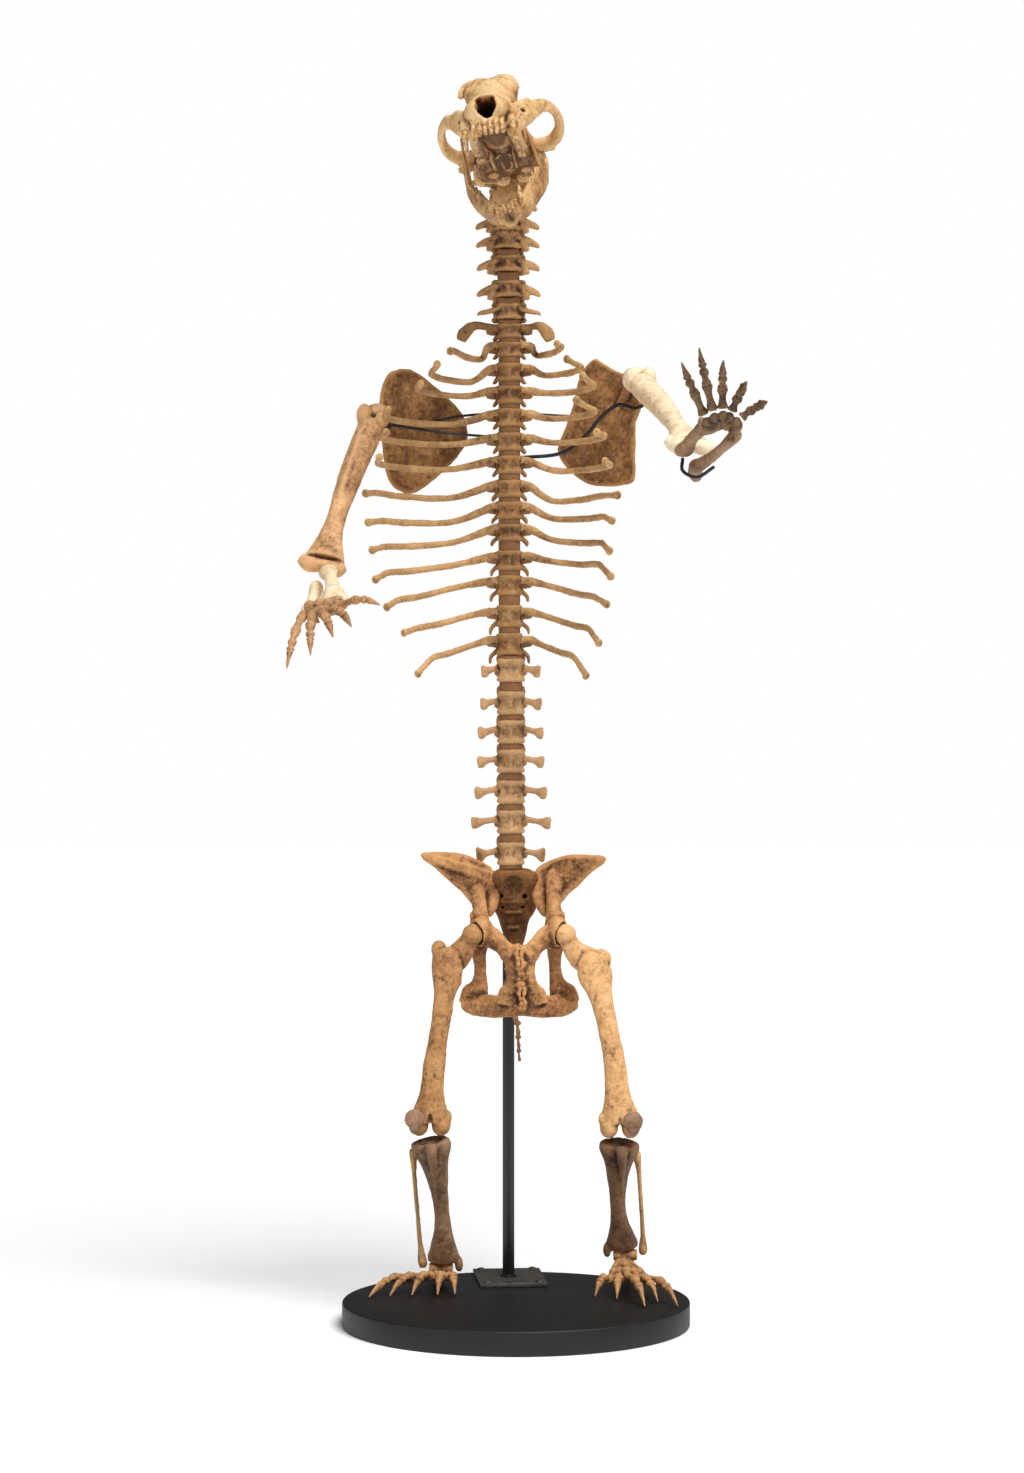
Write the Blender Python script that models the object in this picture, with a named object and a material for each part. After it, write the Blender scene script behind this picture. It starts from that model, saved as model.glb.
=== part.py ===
"""Cave bear skeleton, life size, standing upright on a museum stand.

Metres, +Z up. The bear faces -Y and its right side is at -X. The origin is the centre of the underside
of the round base. Bones are lofts and ellipsoids fused into one closed body each.
"""

import math

import bmesh
import bpy
import numpy as np
from mathutils import Euler, Matrix, Vector

# Stand
BASE_RADIUS = 0.365
BASE_HEIGHT = 0.050
PLATE_SIZE = (0.147, 0.205, 0.008)
PLATE_CENTRE = (-0.0126, 0.255)
PLATE_TURN = math.radians(5)
POST_SIDE = 0.019
POST_PLACE = (-0.016, 0.245)
POST_TOP = 0.930
ARM_SIZE = (0.016, 0.026, 0.024)
ARM_CENTRE = (-0.014, 0.217, 0.905)
ROD_RADIUS = 0.0028
GAP = 0.0006

# Column: places of the bones' centres along the spine
MID_X = -0.014
SPINE_Y = 0.170
NECK_HEIGHTS = (2.412, 2.373, 2.335, 2.297, 2.249, 2.196, 2.149)
THORAX_HEIGHTS = (
    2.107, 2.067, 2.018, 1.969, 1.920, 1.868, 1.819, 1.767, 1.720, 1.673, 1.613, 1.559, 1.493, 1.432,
)
LUMBAR_HEIGHTS = (1.376, 1.306, 1.244, 1.181, 1.115, 1.050, 0.982)
NECK_END = 2.1285
LOIN_START = 1.402
LOIN_END = 0.951
LUMBAR_TALL = 0.0472
DISC_GAP = -0.0010
LUMBAR_WINGS = (0.064, 0.066, 0.071, 0.072, 0.078, 0.086, 0.075)

# Ribs, from the second down: outward reach, fall to the widest place, extra reach and fall of the cut tip
RIBS_RIGHT = (
    (0.115, 0.028, 0.009, 0.009),
    (0.166, 0.028, -0.016, -0.009),
    (0.195, 0.010, -0.011, 0.004),
    (0.262, 0.022, -0.010, -0.002),
    (0.270, 0.014, -0.015, 0.002),
    (0.277, 0.019, -0.008, -0.001),
    (0.276, 0.029, 0.023, 0.012),
    (0.265, 0.041, 0.029, 0.013),
    (0.259, 0.048, 0.027, 0.016),
    (0.254, 0.043, 0.026, 0.022),
    (0.233, 0.047, 0.023, 0.021),
    (0.190, 0.040, 0.032, 0.015),
    (0.160, 0.042, 0.034, 0.038),
)
RIBS_LEFT = (
    (0.111, 0.020, -0.011, 0.001),
    (0.154, 0.014, -0.036, -0.006),
    (0.180, 0.004, -0.028, -0.008),
    (0.183, 0.010, -0.045, -0.010),
    (0.202, 0.010, -0.022, 0.006),
    (0.213, 0.022, -0.015, 0.005),
    (0.193, 0.035, 0.033, 0.010),
    (0.197, 0.032, 0.017, 0.019),
    (0.193, 0.040, 0.016, 0.026),
    (0.188, 0.026, 0.024, 0.033),
    (0.176, 0.040, 0.028, 0.022),
    (0.166, 0.042, 0.022, 0.035),
    (0.133, 0.039, 0.030, 0.046),
)
RIB_TIP_Y = (
    -0.010, -0.050, -0.070, -0.090, -0.100, -0.100, -0.090, -0.080, -0.070, -0.060, -0.050, -0.030, 0.000,
)
RIB_LIFT = 0.012
BODY_SHARE = 0.80

# Skull: joint with the neck, and the turns of the head
SKULL_BASE = (-0.004, 0.070, 2.4075)
SKULL_TURN = (math.radians(-5.5), math.radians(-9), math.radians(-6.3))
JAW_JOINT = (-0.0112, -0.095, 0.028)
JAW_NARROW = 0.965
JAW_GAPE = math.radians(35)
JAW_ROLL = math.radians(-5.5)
JAW_LEVEL = 0.096

# Limb joints: right limbs, then left limbs
HIPS = ((-0.0915, 0.100, 0.812), (0.1056, 0.100, 0.812))
KNEES = ((-0.182, 0.050, 0.397), (0.219, 0.010, 0.397))
ANKLES = ((-0.1555, 0.150, 0.108), (0.2285, 0.130, 0.141))
SHOULDERS = ((-0.301, 0.110, 1.914), (0.261, 0.110, 1.992))
ELBOWS = ((-0.403, -0.080, 1.584), (0.351, -0.270, 1.818))
# Thigh bones: x, z and half width down the shaft; x, z and half height along the neck; the outer knob
FEMUR_SHAFTS = {
    "right": ((-0.157, 0.780, 0.021), (-0.150, 0.762, 0.029), (-0.1455, 0.738, 0.0330),
              (-0.147, 0.712, 0.0285), (-0.151, 0.690, 0.0238),
              (-0.155, 0.655, 0.0214), (-0.164, 0.600, 0.0205), (-0.172, 0.545, 0.0228),
              (-0.178, 0.480, 0.0265), (-0.181, 0.443, 0.036),
              (-0.182, 0.418, 0.041)),
    "left": ((0.175, 0.770, 0.022), (0.169, 0.756, 0.030), (0.166, 0.740, 0.0365), (0.172, 0.714, 0.0345),
             (0.178, 0.690, 0.0262),
             (0.1865, 0.655, 0.0224), (0.198, 0.600, 0.0218), (0.208, 0.545, 0.0240), (0.214, 0.480, 0.0275),
             (0.218, 0.443, 0.037),
             (0.219, 0.418, 0.041)),
}
FEMUR_NECKS = {
    "right": ((-0.104, 0.793, 0.0210), (-0.118, 0.772, 0.0265), (-0.132, 0.752, 0.0255),
              (-0.147, 0.752, 0.0280)),
    "left": ((0.119, 0.786, 0.0210), (0.132, 0.770, 0.0265), (0.147, 0.759, 0.0300), (0.163, 0.752, 0.0300)),
}
TROCHANTERS = {"right": ((-0.1640, 0.779), (0.0165, 0.0210)), "left": ((0.181, 0.757), (0.0230, 0.0250))}

TOE_HALF = 0.0095
TOE_PITCH = 0.0218
FINGER_HALF = 0.0095
WRISTS = ((-0.386, -0.360, 1.496), (0.396, -0.550, 1.829))


def clear_scene():
    for thing in list(bpy.data.objects):
        bpy.data.objects.remove(thing, do_unlink=True)


def finish(name, colour, roughness, metallic=0.0):
    look = bpy.data.materials.new(name)
    look.use_nodes = True
    shader = look.node_tree.nodes["Principled BSDF"]
    shader.inputs["Base Color"].default_value = (*colour, 1.0)
    shader.inputs["Roughness"].default_value = roughness
    shader.inputs["Metallic"].default_value = metallic
    return look


def smooth_rows(rows, steps):
    """Catmull-Rom values between rows of numbers."""
    rows = np.array(rows, dtype=float)
    ends = np.vstack([2 * rows[0] - rows[1], rows, 2 * rows[-1] - rows[-2]])
    result = []
    for i in range(1, len(ends) - 2):
        for t in np.arange(steps) / steps:
            a, b, c, d = ends[i - 1], ends[i], ends[i + 1], ends[i + 2]
            curve = 2 * b + (c - a) * t + (2 * a - 5 * b + 4 * c - d) * t**2 + (3 * b - a - 3 * c + d) * t**3
            result.append(curve / 2)
    result.append(rows[-1])
    return result


def tube(bm, rows, wide=(1, 0, 0), sides=10, steps=3):
    """Closed loft; each row is x, y, z, half width along the wide direction, half depth across it."""
    rows = smooth_rows(rows, steps)
    rings = []
    for i, row in enumerate(rows):
        along = Vector(rows[min(i + 1, len(rows) - 1)][:3]) - Vector(rows[max(i - 1, 0)][:3])
        across = along.cross(Vector(wide)).normalized()
        side = across.cross(along).normalized()
        ring = []
        for k in range(sides):
            angle = 2 * math.pi * k / sides
            offset = side * (row[3] * math.cos(angle)) + across * (row[4] * math.sin(angle))
            ring.append(bm.verts.new(Vector(row[:3]) + offset))
        rings.append(ring)
    for ring, following in zip(rings, rings[1:]):
        for k in range(sides):
            bm.faces.new((ring[k], ring[(k + 1) % sides], following[(k + 1) % sides], following[k]))
    bm.faces.new(rings[0])
    bm.faces.new(rings[-1])


def knob(bm, centre, size, turn=(0, 0, 0)):
    """Ellipsoid with three half sizes."""
    place = Matrix.Translation(centre) @ Euler(turn).to_matrix().to_4x4() @ Matrix.Diagonal((*size, 1))
    bmesh.ops.create_icosphere(bm, subdivisions=2, radius=1.0, matrix=place)


def plate(bm, outline, thick, surface):
    """Curved plate: a smooth closed outline of u, v points, laid on surface(u, v, depth)."""
    closed = smooth_rows([*outline, outline[0]], 3)[:-1]
    near = [bm.verts.new(surface(u, v, -thick / 2)) for u, v in closed]
    far = [bm.verts.new(surface(u, v, thick / 2)) for u, v in closed]
    bm.faces.new(near)
    bm.faces.new(far)
    for k in range(len(closed)):
        after = (k + 1) % len(closed)
        bm.faces.new((near[k], near[after], far[after], far[k]))
    bmesh.ops.triangulate(bm, faces=[f for f in bm.faces if len(f.verts) > 10])


def along(start, end, t, offset=(0, 0, 0)):
    return Vector(start).lerp(Vector(end), t) + Vector(offset)


def make_object(name, mesh, look):
    thing = bpy.data.objects.new(name, mesh)
    bpy.context.collection.objects.link(thing)
    mesh.materials.clear()
    mesh.materials.append(look)
    return thing


def settled(thing):
    """The object's mesh with its modifiers carried out."""
    view = bpy.context.evaluated_depsgraph_get()
    return bpy.data.meshes.new_from_object(thing.evaluated_get(view), depsgraph=view)


def fuse(name, bm, look, faces, voxel=0.003, hollows=(), rounding=2):
    """One closed body from overlapping shapes, with hollows pressed in, at about the wanted triangles.

    A hollow is a centre, three half sizes and the direction in which the surface is pressed.
    """
    bmesh.ops.recalc_face_normals(bm, faces=bm.faces)
    mesh = bpy.data.meshes.new(name)
    bm.to_mesh(mesh)
    bm.free()
    thing = make_object(name, mesh, look)
    for _ in range(2 if hollows else 1):
        remesh = thing.modifiers.new("Fuse", "REMESH")
        remesh.mode = "VOXEL"
        remesh.voxel_size = voxel
        soften = thing.modifiers.new("Soften", "SMOOTH")
        soften.factor = 0.5
        soften.iterations = rounding
        thing.data = settled(thing)
        thing.modifiers.clear()
        for centre, size, push in hollows:
            press(thing.data, Vector(centre), size, Vector(push).normalized())
    thing.data.materials.clear()
    thing.data.materials.append(look)
    thing.data.calc_loop_triangles()
    thin_out = thing.modifiers.new("Fewer faces", "DECIMATE")
    thin_out.ratio = min(1.0, faces / len(thing.data.loop_triangles))
    thin_out.use_collapse_triangulate = True
    return thing


def press(mesh, centre, size, push):
    """Move the vertices inside an ellipsoid along push to its far side."""
    for vertex in mesh.vertices:
        local = Vector([(vertex.co[i] - centre[i]) / size[i] for i in range(3)])
        if local.length_squared < 1:
            step = Vector([push[i] / size[i] for i in range(3)])
            a = step.length_squared
            b = local.dot(step)
            c = local.length_squared - 1
            vertex.co += push * ((-b + math.sqrt(b * b - a * c)) / a)


# ---------------------------------------------------------------- head


def head_place(point):
    turn = Euler((0, SKULL_TURN[1], SKULL_TURN[2])).to_matrix() @ Euler((SKULL_TURN[0], 0, 0)).to_matrix()
    return turn @ Vector(point) + Vector(SKULL_BASE)


def jaw_place(point):
    local = Euler((JAW_GAPE, JAW_ROLL, 0)).to_matrix() @ Vector((point[0] * JAW_NARROW, point[1], point[2]))
    local += Vector(JAW_JOINT)
    return head_place(local)


def skull(look):
    bm = bmesh.new()
    # Brain case, forehead and muzzle in one loft from the back of the head to the nose
    tube(
        bm,
        (
            (0, 0.004, 0.048, 0.044, 0.030),
            (0, -0.020, 0.056, 0.070, 0.046),
            (0, -0.060, 0.064, 0.058, 0.056),
            (0, -0.120, 0.076, 0.050, 0.060),
            (0, -0.170, 0.088, 0.046, 0.068),
            (0, -0.205, 0.092, 0.051, 0.072),
            (0, -0.240, 0.084, 0.053, 0.070),
            (0, -0.275, 0.071, 0.050, 0.060),
            (0, -0.315, 0.058, 0.046, 0.050),
            (0, -0.355, 0.048, 0.046, 0.041),
            (0, -0.390, 0.042, 0.047, 0.035),
            (0, -0.415, 0.038, 0.043, 0.031),
            (0, -0.430, 0.033, 0.034, 0.022),
        ),
        sides=16,
    )
    # Sagittal crest
    tube(bm, ((0, 0.014, 0.088, 0.006, 0.026), (0, -0.060, 0.108, 0.006, 0.032),
              (0, -0.150, 0.132, 0.007, 0.026)))
    for s in (-1, 1):
        # Frontal block with its flat top, and the brow process; the right one reaches further out
        brow = 0.066 if s < 0 else 0.055
        knob(bm, (s * 0.022, -0.212, 0.132), (0.031, 0.046, 0.038))
        knob(bm, (s * 0.034, -0.216, 0.145), (0.022, 0.034, 0.023))
        knob(bm, (s * 0.031, -0.238, 0.112), (0.024, 0.038, 0.044))
        tube(bm, ((s * 0.028, -0.214, 0.152, 0.020, 0.014),
                  (s * (brow - 0.017), -0.219, 0.151, 0.014, 0.0125),
                  (s * (brow - 0.006), -0.224, 0.144, 0.009, 0.0085),
                  (s * brow, -0.228, 0.131, 0.005, 0.006)),
             wide=(0, 1, 0))
        # Cheek root and zygomatic arch, up over the eye's lower rim, out, and down to the jaw joint
        tube(
            bm,
            (
                (s * 0.040, -0.312, 0.042, 0.028, 0.014),
                (s * 0.062, -0.282, 0.060, 0.028, 0.013),
                (s * 0.082, -0.250, 0.079, 0.023, 0.009),
                (s * 0.098, -0.218, 0.090, 0.0165, 0.007),
                (s * 0.114, -0.182, 0.092, 0.0125, 0.007),
                (s * 0.1235, -0.150, 0.080, 0.0130, 0.009),
                (s * 0.1205, -0.124, 0.063, 0.0145, 0.010),
                (s * 0.105, -0.101, 0.050, 0.0150, 0.013),
                (s * 0.078, -0.088, 0.046, 0.0150, 0.020),
                (s * 0.046, -0.080, 0.055, 0.0180, 0.015),
            ),
            wide=(0, 0, 1),
        )
        # Jaw joint bar, skull base, mastoid and neck joint
        tube(bm, ((s * 0.050, -0.082, 0.043, 0.010, 0.008), (s * 0.104, -0.084, 0.040, 0.010, 0.008)),
             wide=(0, 1, 0))
        slack = 0.010 if s > 0 else 0.006
        tube(bm, ((s * (0.028 - slack), -0.150, 0.028, 0.026 - slack, 0.014),
                  (s * (0.038 - slack), -0.100, 0.028, 0.034 - slack, 0.015),
                  (s * (0.042 - slack), -0.055, 0.024, 0.036 - slack, 0.017),
                  (s * 0.038, -0.018, 0.022, 0.030, 0.017)))
        knob(bm, (s * 0.066, -0.020, 0.034), (0.012, 0.014, 0.022))
        knob(bm, (s * 0.022, 0.001, 0.018), (0.016, 0.011, 0.014))
        # Upper jaw bone, the worn cheek teeth, canine root and canine
        tube(bm, ((s * 0.038, -0.175, 0.020, 0.011, 0.016), (s * 0.042, -0.250, 0.014, 0.013, 0.018),
                  (s * 0.039, -0.345, 0.014, 0.010, 0.014)))
        tube(bm, ((s * 0.043, -0.196, -0.001, 0.007, 0.008), (s * 0.043, -0.255, -0.005, 0.007, 0.008),
                  (s * 0.040, -0.305, 0.000, 0.005, 0.007)))
        tube(bm, ((s * 0.036, -0.325, 0.062, 0.009, 0.013), (s * 0.044, -0.372, 0.044, 0.011, 0.016),
                  (s * 0.0475, -0.398, 0.018, 0.0100, 0.0120), (s * 0.0495, -0.404, 0.000, 0.0078, 0.0090),
                  (s * 0.0505, -0.403, -0.016, 0.0062, 0.0074),
                  (s * 0.0500, -0.392, -0.036, 0.0028, 0.0032)))
        for k in range(3):
            tube(bm, ((s * (0.0058 + 0.0116 * k), -0.420 + 0.004 * k, 0.012, 0.0056, 0.008),
                      (s * (0.0058 + 0.0116 * k), -0.430 + 0.004 * k, -0.015, 0.0045, 0.003)))
    hollows = (
        ((0.002, -0.452, 0.045), (0.0225, 0.120, 0.0225), (0, 1, 0)),
        ((0, -0.300, -0.018), (0.025, 0.120, 0.024), (0, 0, 1)),
        ((0, -0.140, -0.004), (0.019, 0.075, 0.026), (0, 0, 1)),
        ((0.080, -0.246, 0.110), (0.031, 0.034, 0.019), (-1, 0.3, 0)),
        ((-0.080, -0.246, 0.110), (0.031, 0.034, 0.019), (1, 0.3, 0)),
    )
    thing = fuse("skull", bm, look, 1000, 0.0030, hollows)
    for vertex in thing.data.vertices:
        vertex.co = head_place(vertex.co)


def mandible(look):
    """Two halves joined at the chin; the local origin is the jaw joint."""
    bm = bmesh.new()
    for s in (-1, 1):
        tube(
            bm,
            (
                (s * 0.084, 0.008, -0.052, 0.007, 0.012),
                (s * 0.082, -0.025, -0.044, 0.008, 0.026),
                (s * 0.075, -0.070, -0.040, 0.009, 0.028),
                (s * 0.064, -0.120, -0.038, 0.011, 0.026),
                (s * 0.050, -0.170, -0.036, 0.012, 0.025),
                (s * 0.036, -0.215, -0.035, 0.013, 0.024),
                (s * 0.024, -0.248, -0.030, 0.013, 0.022),
                (s * 0.0135, -0.270, -0.022, 0.0125, 0.019),
                (s * 0.0105, -0.284, -0.013, 0.0100, 0.010),
            ),
        )
        # Rear blade with the coronoid process, joint bar, angle hook, and the worn tooth row
        tube(
            bm,
            (
                (s * 0.080, -0.046, -0.040, 0.0068, 0.028),
                (s * 0.078, -0.040, 0.000, 0.0055, 0.026),
                (s * 0.074, -0.033, 0.036, 0.0045, 0.017),
                (s * 0.071, -0.020, 0.066, 0.0034, 0.009),
            ),
        )
        level = -JAW_LEVEL * s
        tube(bm, ((s * 0.070, 0.000, level * 0.070 - 0.012, 0.0060, 0.006),
                  (s * 0.080, 0.000, level * 0.080 - 0.011, 0.0080, 0.006),
                  (s * 0.096, 0.000, level * 0.096 - 0.010, 0.0075, 0.006)), wide=(0, 1, 0))
        tube(bm, ((s * 0.080, -0.012, -0.016, 0.008, 0.017), (s * 0.084, 0.000, -0.034, 0.007, 0.018)))
        tube(bm, ((s * 0.083, 0.000, -0.052, 0.007, 0.009), (s * 0.083, 0.014, -0.061, 0.005, 0.006)))
        tube(bm, ((s * 0.072, -0.085, -0.012, 0.008, 0.011), (s * 0.058, -0.145, -0.012, 0.008, 0.012),
                  (s * 0.042, -0.195, -0.018, 0.007, 0.008)))
        # Canine: whole on the left, worn to a stump on the right
        tall = 0.034 if s > 0 else 0.012
        tube(bm, ((s * 0.026, -0.240, -0.024, 0.011, 0.014), (s * 0.0300, -0.258, -0.010, 0.0090, 0.0105),
                  (s * 0.0325, -0.260, -0.010 + tall * 0.5, 0.0064, 0.0076),
                  (s * 0.0350, -0.255, -0.010 + tall, 0.0030, 0.0034)))
        for k in range(3):
            tube(bm, ((s * (0.0050 + 0.0078 * k), -0.282 + 0.0045 * k, -0.016, 0.0042, 0.006),
                      (s * (0.0050 + 0.0078 * k), -0.288 + 0.0045 * k, 0.003, 0.0038, 0.0028)))
    knob(bm, (0, -0.258, -0.035), (0.019, 0.026, 0.0225))
    thing = fuse("mandible", bm, look, 440, 0.0028)
    for vertex in thing.data.vertices:
        vertex.co = jaw_place(vertex.co)


# ---------------------------------------------------------------- spine


def column_place(z):
    """Centre of the column at a height: the neck runs forward to the head."""
    lift = max(0.0, z - 2.12)
    return Vector((MID_X - 0.02 * lift, SPINE_Y - 0.22 * lift, z))


def vertebra_body(bm, centre, half_width, half_depth, height):
    x, y, z = centre
    tube(
        bm,
        [
            (x, y, z + height * part, half_width * swell, half_depth * swell)
            for part, swell in ((-0.5, 0.94), (-0.42, 1.0), (0.0, 0.78), (0.42, 1.0), (0.5, 0.94))
        ],
        steps=2,
    )


def neck_vertebrae(look):
    bm = bmesh.new()
    for level, height in enumerate(NECK_HEIGHTS):
        x, y, z = column_place(height)
        tall = 0.034 if level else 0.022
        vertebra_body(bm, (x, y, z), 0.030, 0.020, tall)
        knob(bm, (x, y + 0.034, z), (0.026, 0.014, tall * 0.42))
        for s in (-1, 1):
            tube(bm, ((x + s * 0.020, y + 0.002, z, 0.006, 0.012),
                      (x + s * 0.024, y + 0.036, z, 0.006, 0.012)))
            reach = 0.078 if level == 0 else 0.066 - 0.004 * (level == 1)
            drop = -0.004 if level == 0 else 0.016 if level < 6 else 0.010
            deep = 0.016 if level == 0 else 0.009
            tube(
                bm,
                ((x + s * 0.020, y + 0.004, z + 0.004, 0.012, deep),
                 (x + s * reach * 0.75, y - 0.002, z - drop * 0.35, 0.008, deep),
                 (x + s * reach, y - 0.004, z - drop, 0.005, deep * 0.6)),
                wide=(0, 1, 0),
                steps=2,
            )
        back = (0.034, 0.060, 0.050, 0.052, 0.054, 0.060, 0.072)[level]
        crest = 0.012 if level != 1 else 0.022
        tube(bm, ((x, y + 0.030, z, 0.006, 0.014), (x, y + back, z - 0.002, 0.005, crest)))
        if level:
            above = column_place(NECK_HEIGHTS[level - 1])
            tube(bm, ((above.x, above.y, above.z, 0.017, 0.014), (x, y, z, 0.017, 0.014)), steps=1)
    low = column_place(NECK_HEIGHTS[-1])
    tube(bm, ((*low, 0.017, 0.014), (low.x, low.y, NECK_END, 0.018, 0.014)), steps=1)
    fuse("neck_vertebrae", bm, look, 530, 0.0030)


def thorax_column(bm):
    """Fourteen thoracic vertebrae on their core, with spines that lean back and down."""
    for level, z in enumerate(THORAX_HEIGHTS):
        x, y = MID_X, SPINE_Y
        tall = BODY_SHARE * min(abs(z - other) for other in THORAX_HEIGHTS if other != z)
        vertebra_body(bm, (x, y, z), 0.029, 0.020, tall)
        tube(bm, ((x, y + 0.015, z, 0.020, 0.013), (x, y + 0.045, z - 0.002, 0.014, 0.013)), steps=2)
        length = 0.095 - 0.004 * level
        tube(
            bm,
            ((x, y + 0.035, z, 0.006, 0.014), (x, y + 0.035 + length * 0.6, z - length * 0.25, 0.005, 0.010),
             (x, y + 0.035 + length, z - length * 0.5, 0.006, 0.009)),
            steps=2,
        )
    tube(bm, ((MID_X, SPINE_Y, NECK_END - DISC_GAP, 0.018, 0.014),
              (MID_X, SPINE_Y, LOIN_START + DISC_GAP, 0.018, 0.014)), steps=1)


def rib(bm, s, z, early, reach, fall, tip_out, tip_fall, tip_y):
    """One rib: head on the column, back to its angle, round to the side and forward to the cut tip."""
    def at(out, y, drop):
        return (MID_X + s * out, y, z + RIB_LIFT - drop)

    tube(
        bm,
        (
            (*at(0.016, 0.178, 0.000), 0.0105, 0.010),
            (*at(0.045, 0.192, fall * early * 0.20), 0.0088, 0.0078),
            (*at(reach * 0.42 + 0.012, 0.208, fall * early), 0.0072, 0.0060),
            (*at(reach * 0.82, 0.165, fall * (0.65 + 0.35 * early)), 0.0074, 0.0058),
            (*at(reach, 0.066, fall), 0.0072, 0.0056),
            (*at(reach + tip_out * 0.5, (0.066 + tip_y) / 2, fall + tip_fall * 0.45), 0.0070, 0.0056),
            (*at(reach + tip_out, tip_y, fall + tip_fall), 0.0092, 0.0080),
        ),
        wide=(0, 0, 1),
        sides=8,
    )


def rib_cage(name, s, rows, look):
    bm = bmesh.new()
    thorax_column(bm)
    for k, (row, tip_y) in enumerate(zip(rows, RIB_TIP_Y)):
        # The upper ribs dip at once and run level; the lower ones slope all the way
        early = min(1.0, max(0.28, 1.0 - 0.18 * (k - 6)))
        rib(bm, s, THORAX_HEIGHTS[k + 1], early, *row, tip_y)
    # Short first rib stub
    z = THORAX_HEIGHTS[0]
    tube(
        bm,
        ((MID_X + s * 0.016, 0.175, z + 0.004, 0.012, 0.008),
         (MID_X + s * 0.060, 0.180, z - 0.010, 0.009, 0.006),
         (MID_X + s * 0.094, 0.165, z - 0.036, 0.008, 0.005)),
        wide=(0, 0, 1),
    )
    thing = fuse(name, bm, look, 860, 0.0030)
    block = block_mesh((0.5, 0.6, 0.9), (s * (0.25 + GAP / 2) + MID_X, 0.15, 1.77))
    half = bpy.data.objects.new(name + "_cutter", block)
    bpy.context.collection.objects.link(half)
    half.hide_render = True
    half.display_type = "WIRE"
    cut = thing.modifiers.new("Median cut", "BOOLEAN")
    cut.operation = "INTERSECT"
    cut.object = half


def block_mesh(size, centre):
    bm = bmesh.new()
    bmesh.ops.create_cube(bm, size=1.0, matrix=Matrix.Translation(centre) @ Matrix.Diagonal((*size, 1)))
    mesh = bpy.data.meshes.new("block")
    bm.to_mesh(mesh)
    bm.free()
    return mesh


def lumbar_vertebrae(look):
    bm = bmesh.new()
    for z, wing in zip(LUMBAR_HEIGHTS, LUMBAR_WINGS):
        x, y = MID_X + 0.003, SPINE_Y - 0.01
        vertebra_body(bm, (x, y, z), 0.031, 0.024, LUMBAR_TALL)
        tube(bm, ((x, y + 0.015, z + 0.004, 0.024, 0.016), (x, y + 0.050, z, 0.018, 0.015)), steps=2)
        tube(bm, ((x, y + 0.035, z, 0.007, 0.018), (x, y + 0.095, z - 0.006, 0.006, 0.015)))
        last = z == LUMBAR_HEIGHTS[-1]
        for s in (-1, 1):
            tube(
                bm,
                ((x + s * 0.018, y + 0.006, z + 0.006, 0.006, 0.010),
                 (x + s * wing * 0.65, y + 0.002, z + 0.002, 0.004, 0.007),
                 (x + s * (wing - 0.008), y - 0.004 + 0.014 * last, z - 0.002, 0.004, 0.014 + 0.003 * last),
                 (x + s * wing, y - 0.006 + 0.020 * last, z - 0.004, 0.003, 0.012 + 0.002 * last)),
                wide=(0, 1, 0),
                steps=2,
            )
    tube(bm, ((MID_X + 0.003, SPINE_Y - 0.01, LOIN_START, 0.019, 0.015),
              (MID_X + 0.003, SPINE_Y - 0.01, LOIN_END, 0.019, 0.015)), steps=1)
    fuse("lumbar_vertebrae", bm, look, 400, 0.0032)


# ---------------------------------------------------------------- pelvis and tail


def pelvis_x(z):
    """The pelvis leans a little: its middle plane moves to the left as it goes down."""
    return 0.004 + 0.06 * (0.83 - z)



def sacrum(look):
    bm = bmesh.new()
    tube(
        bm,
        (
            (-0.003, 0.155, 0.9490, 0.036, 0.020),
            (-0.002, 0.158, 0.936, 0.052, 0.025),
            (-0.0005, 0.172, 0.905, 0.0555, 0.020),
            (0.001, 0.184, 0.870, 0.050, 0.016),
            (0.002, 0.192, 0.838, 0.033, 0.013),
            (0.006, 0.198, 0.805, 0.024, 0.011),
            (0.008, 0.200, 0.778, 0.013, 0.009),
        ),
    )
    tube(bm, ((-0.006, 0.176, 0.935, 0.007, 0.022), (0.004, 0.204, 0.825, 0.005, 0.012)))
    fuse("sacrum", bm, look, 150, 0.0032)


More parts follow.
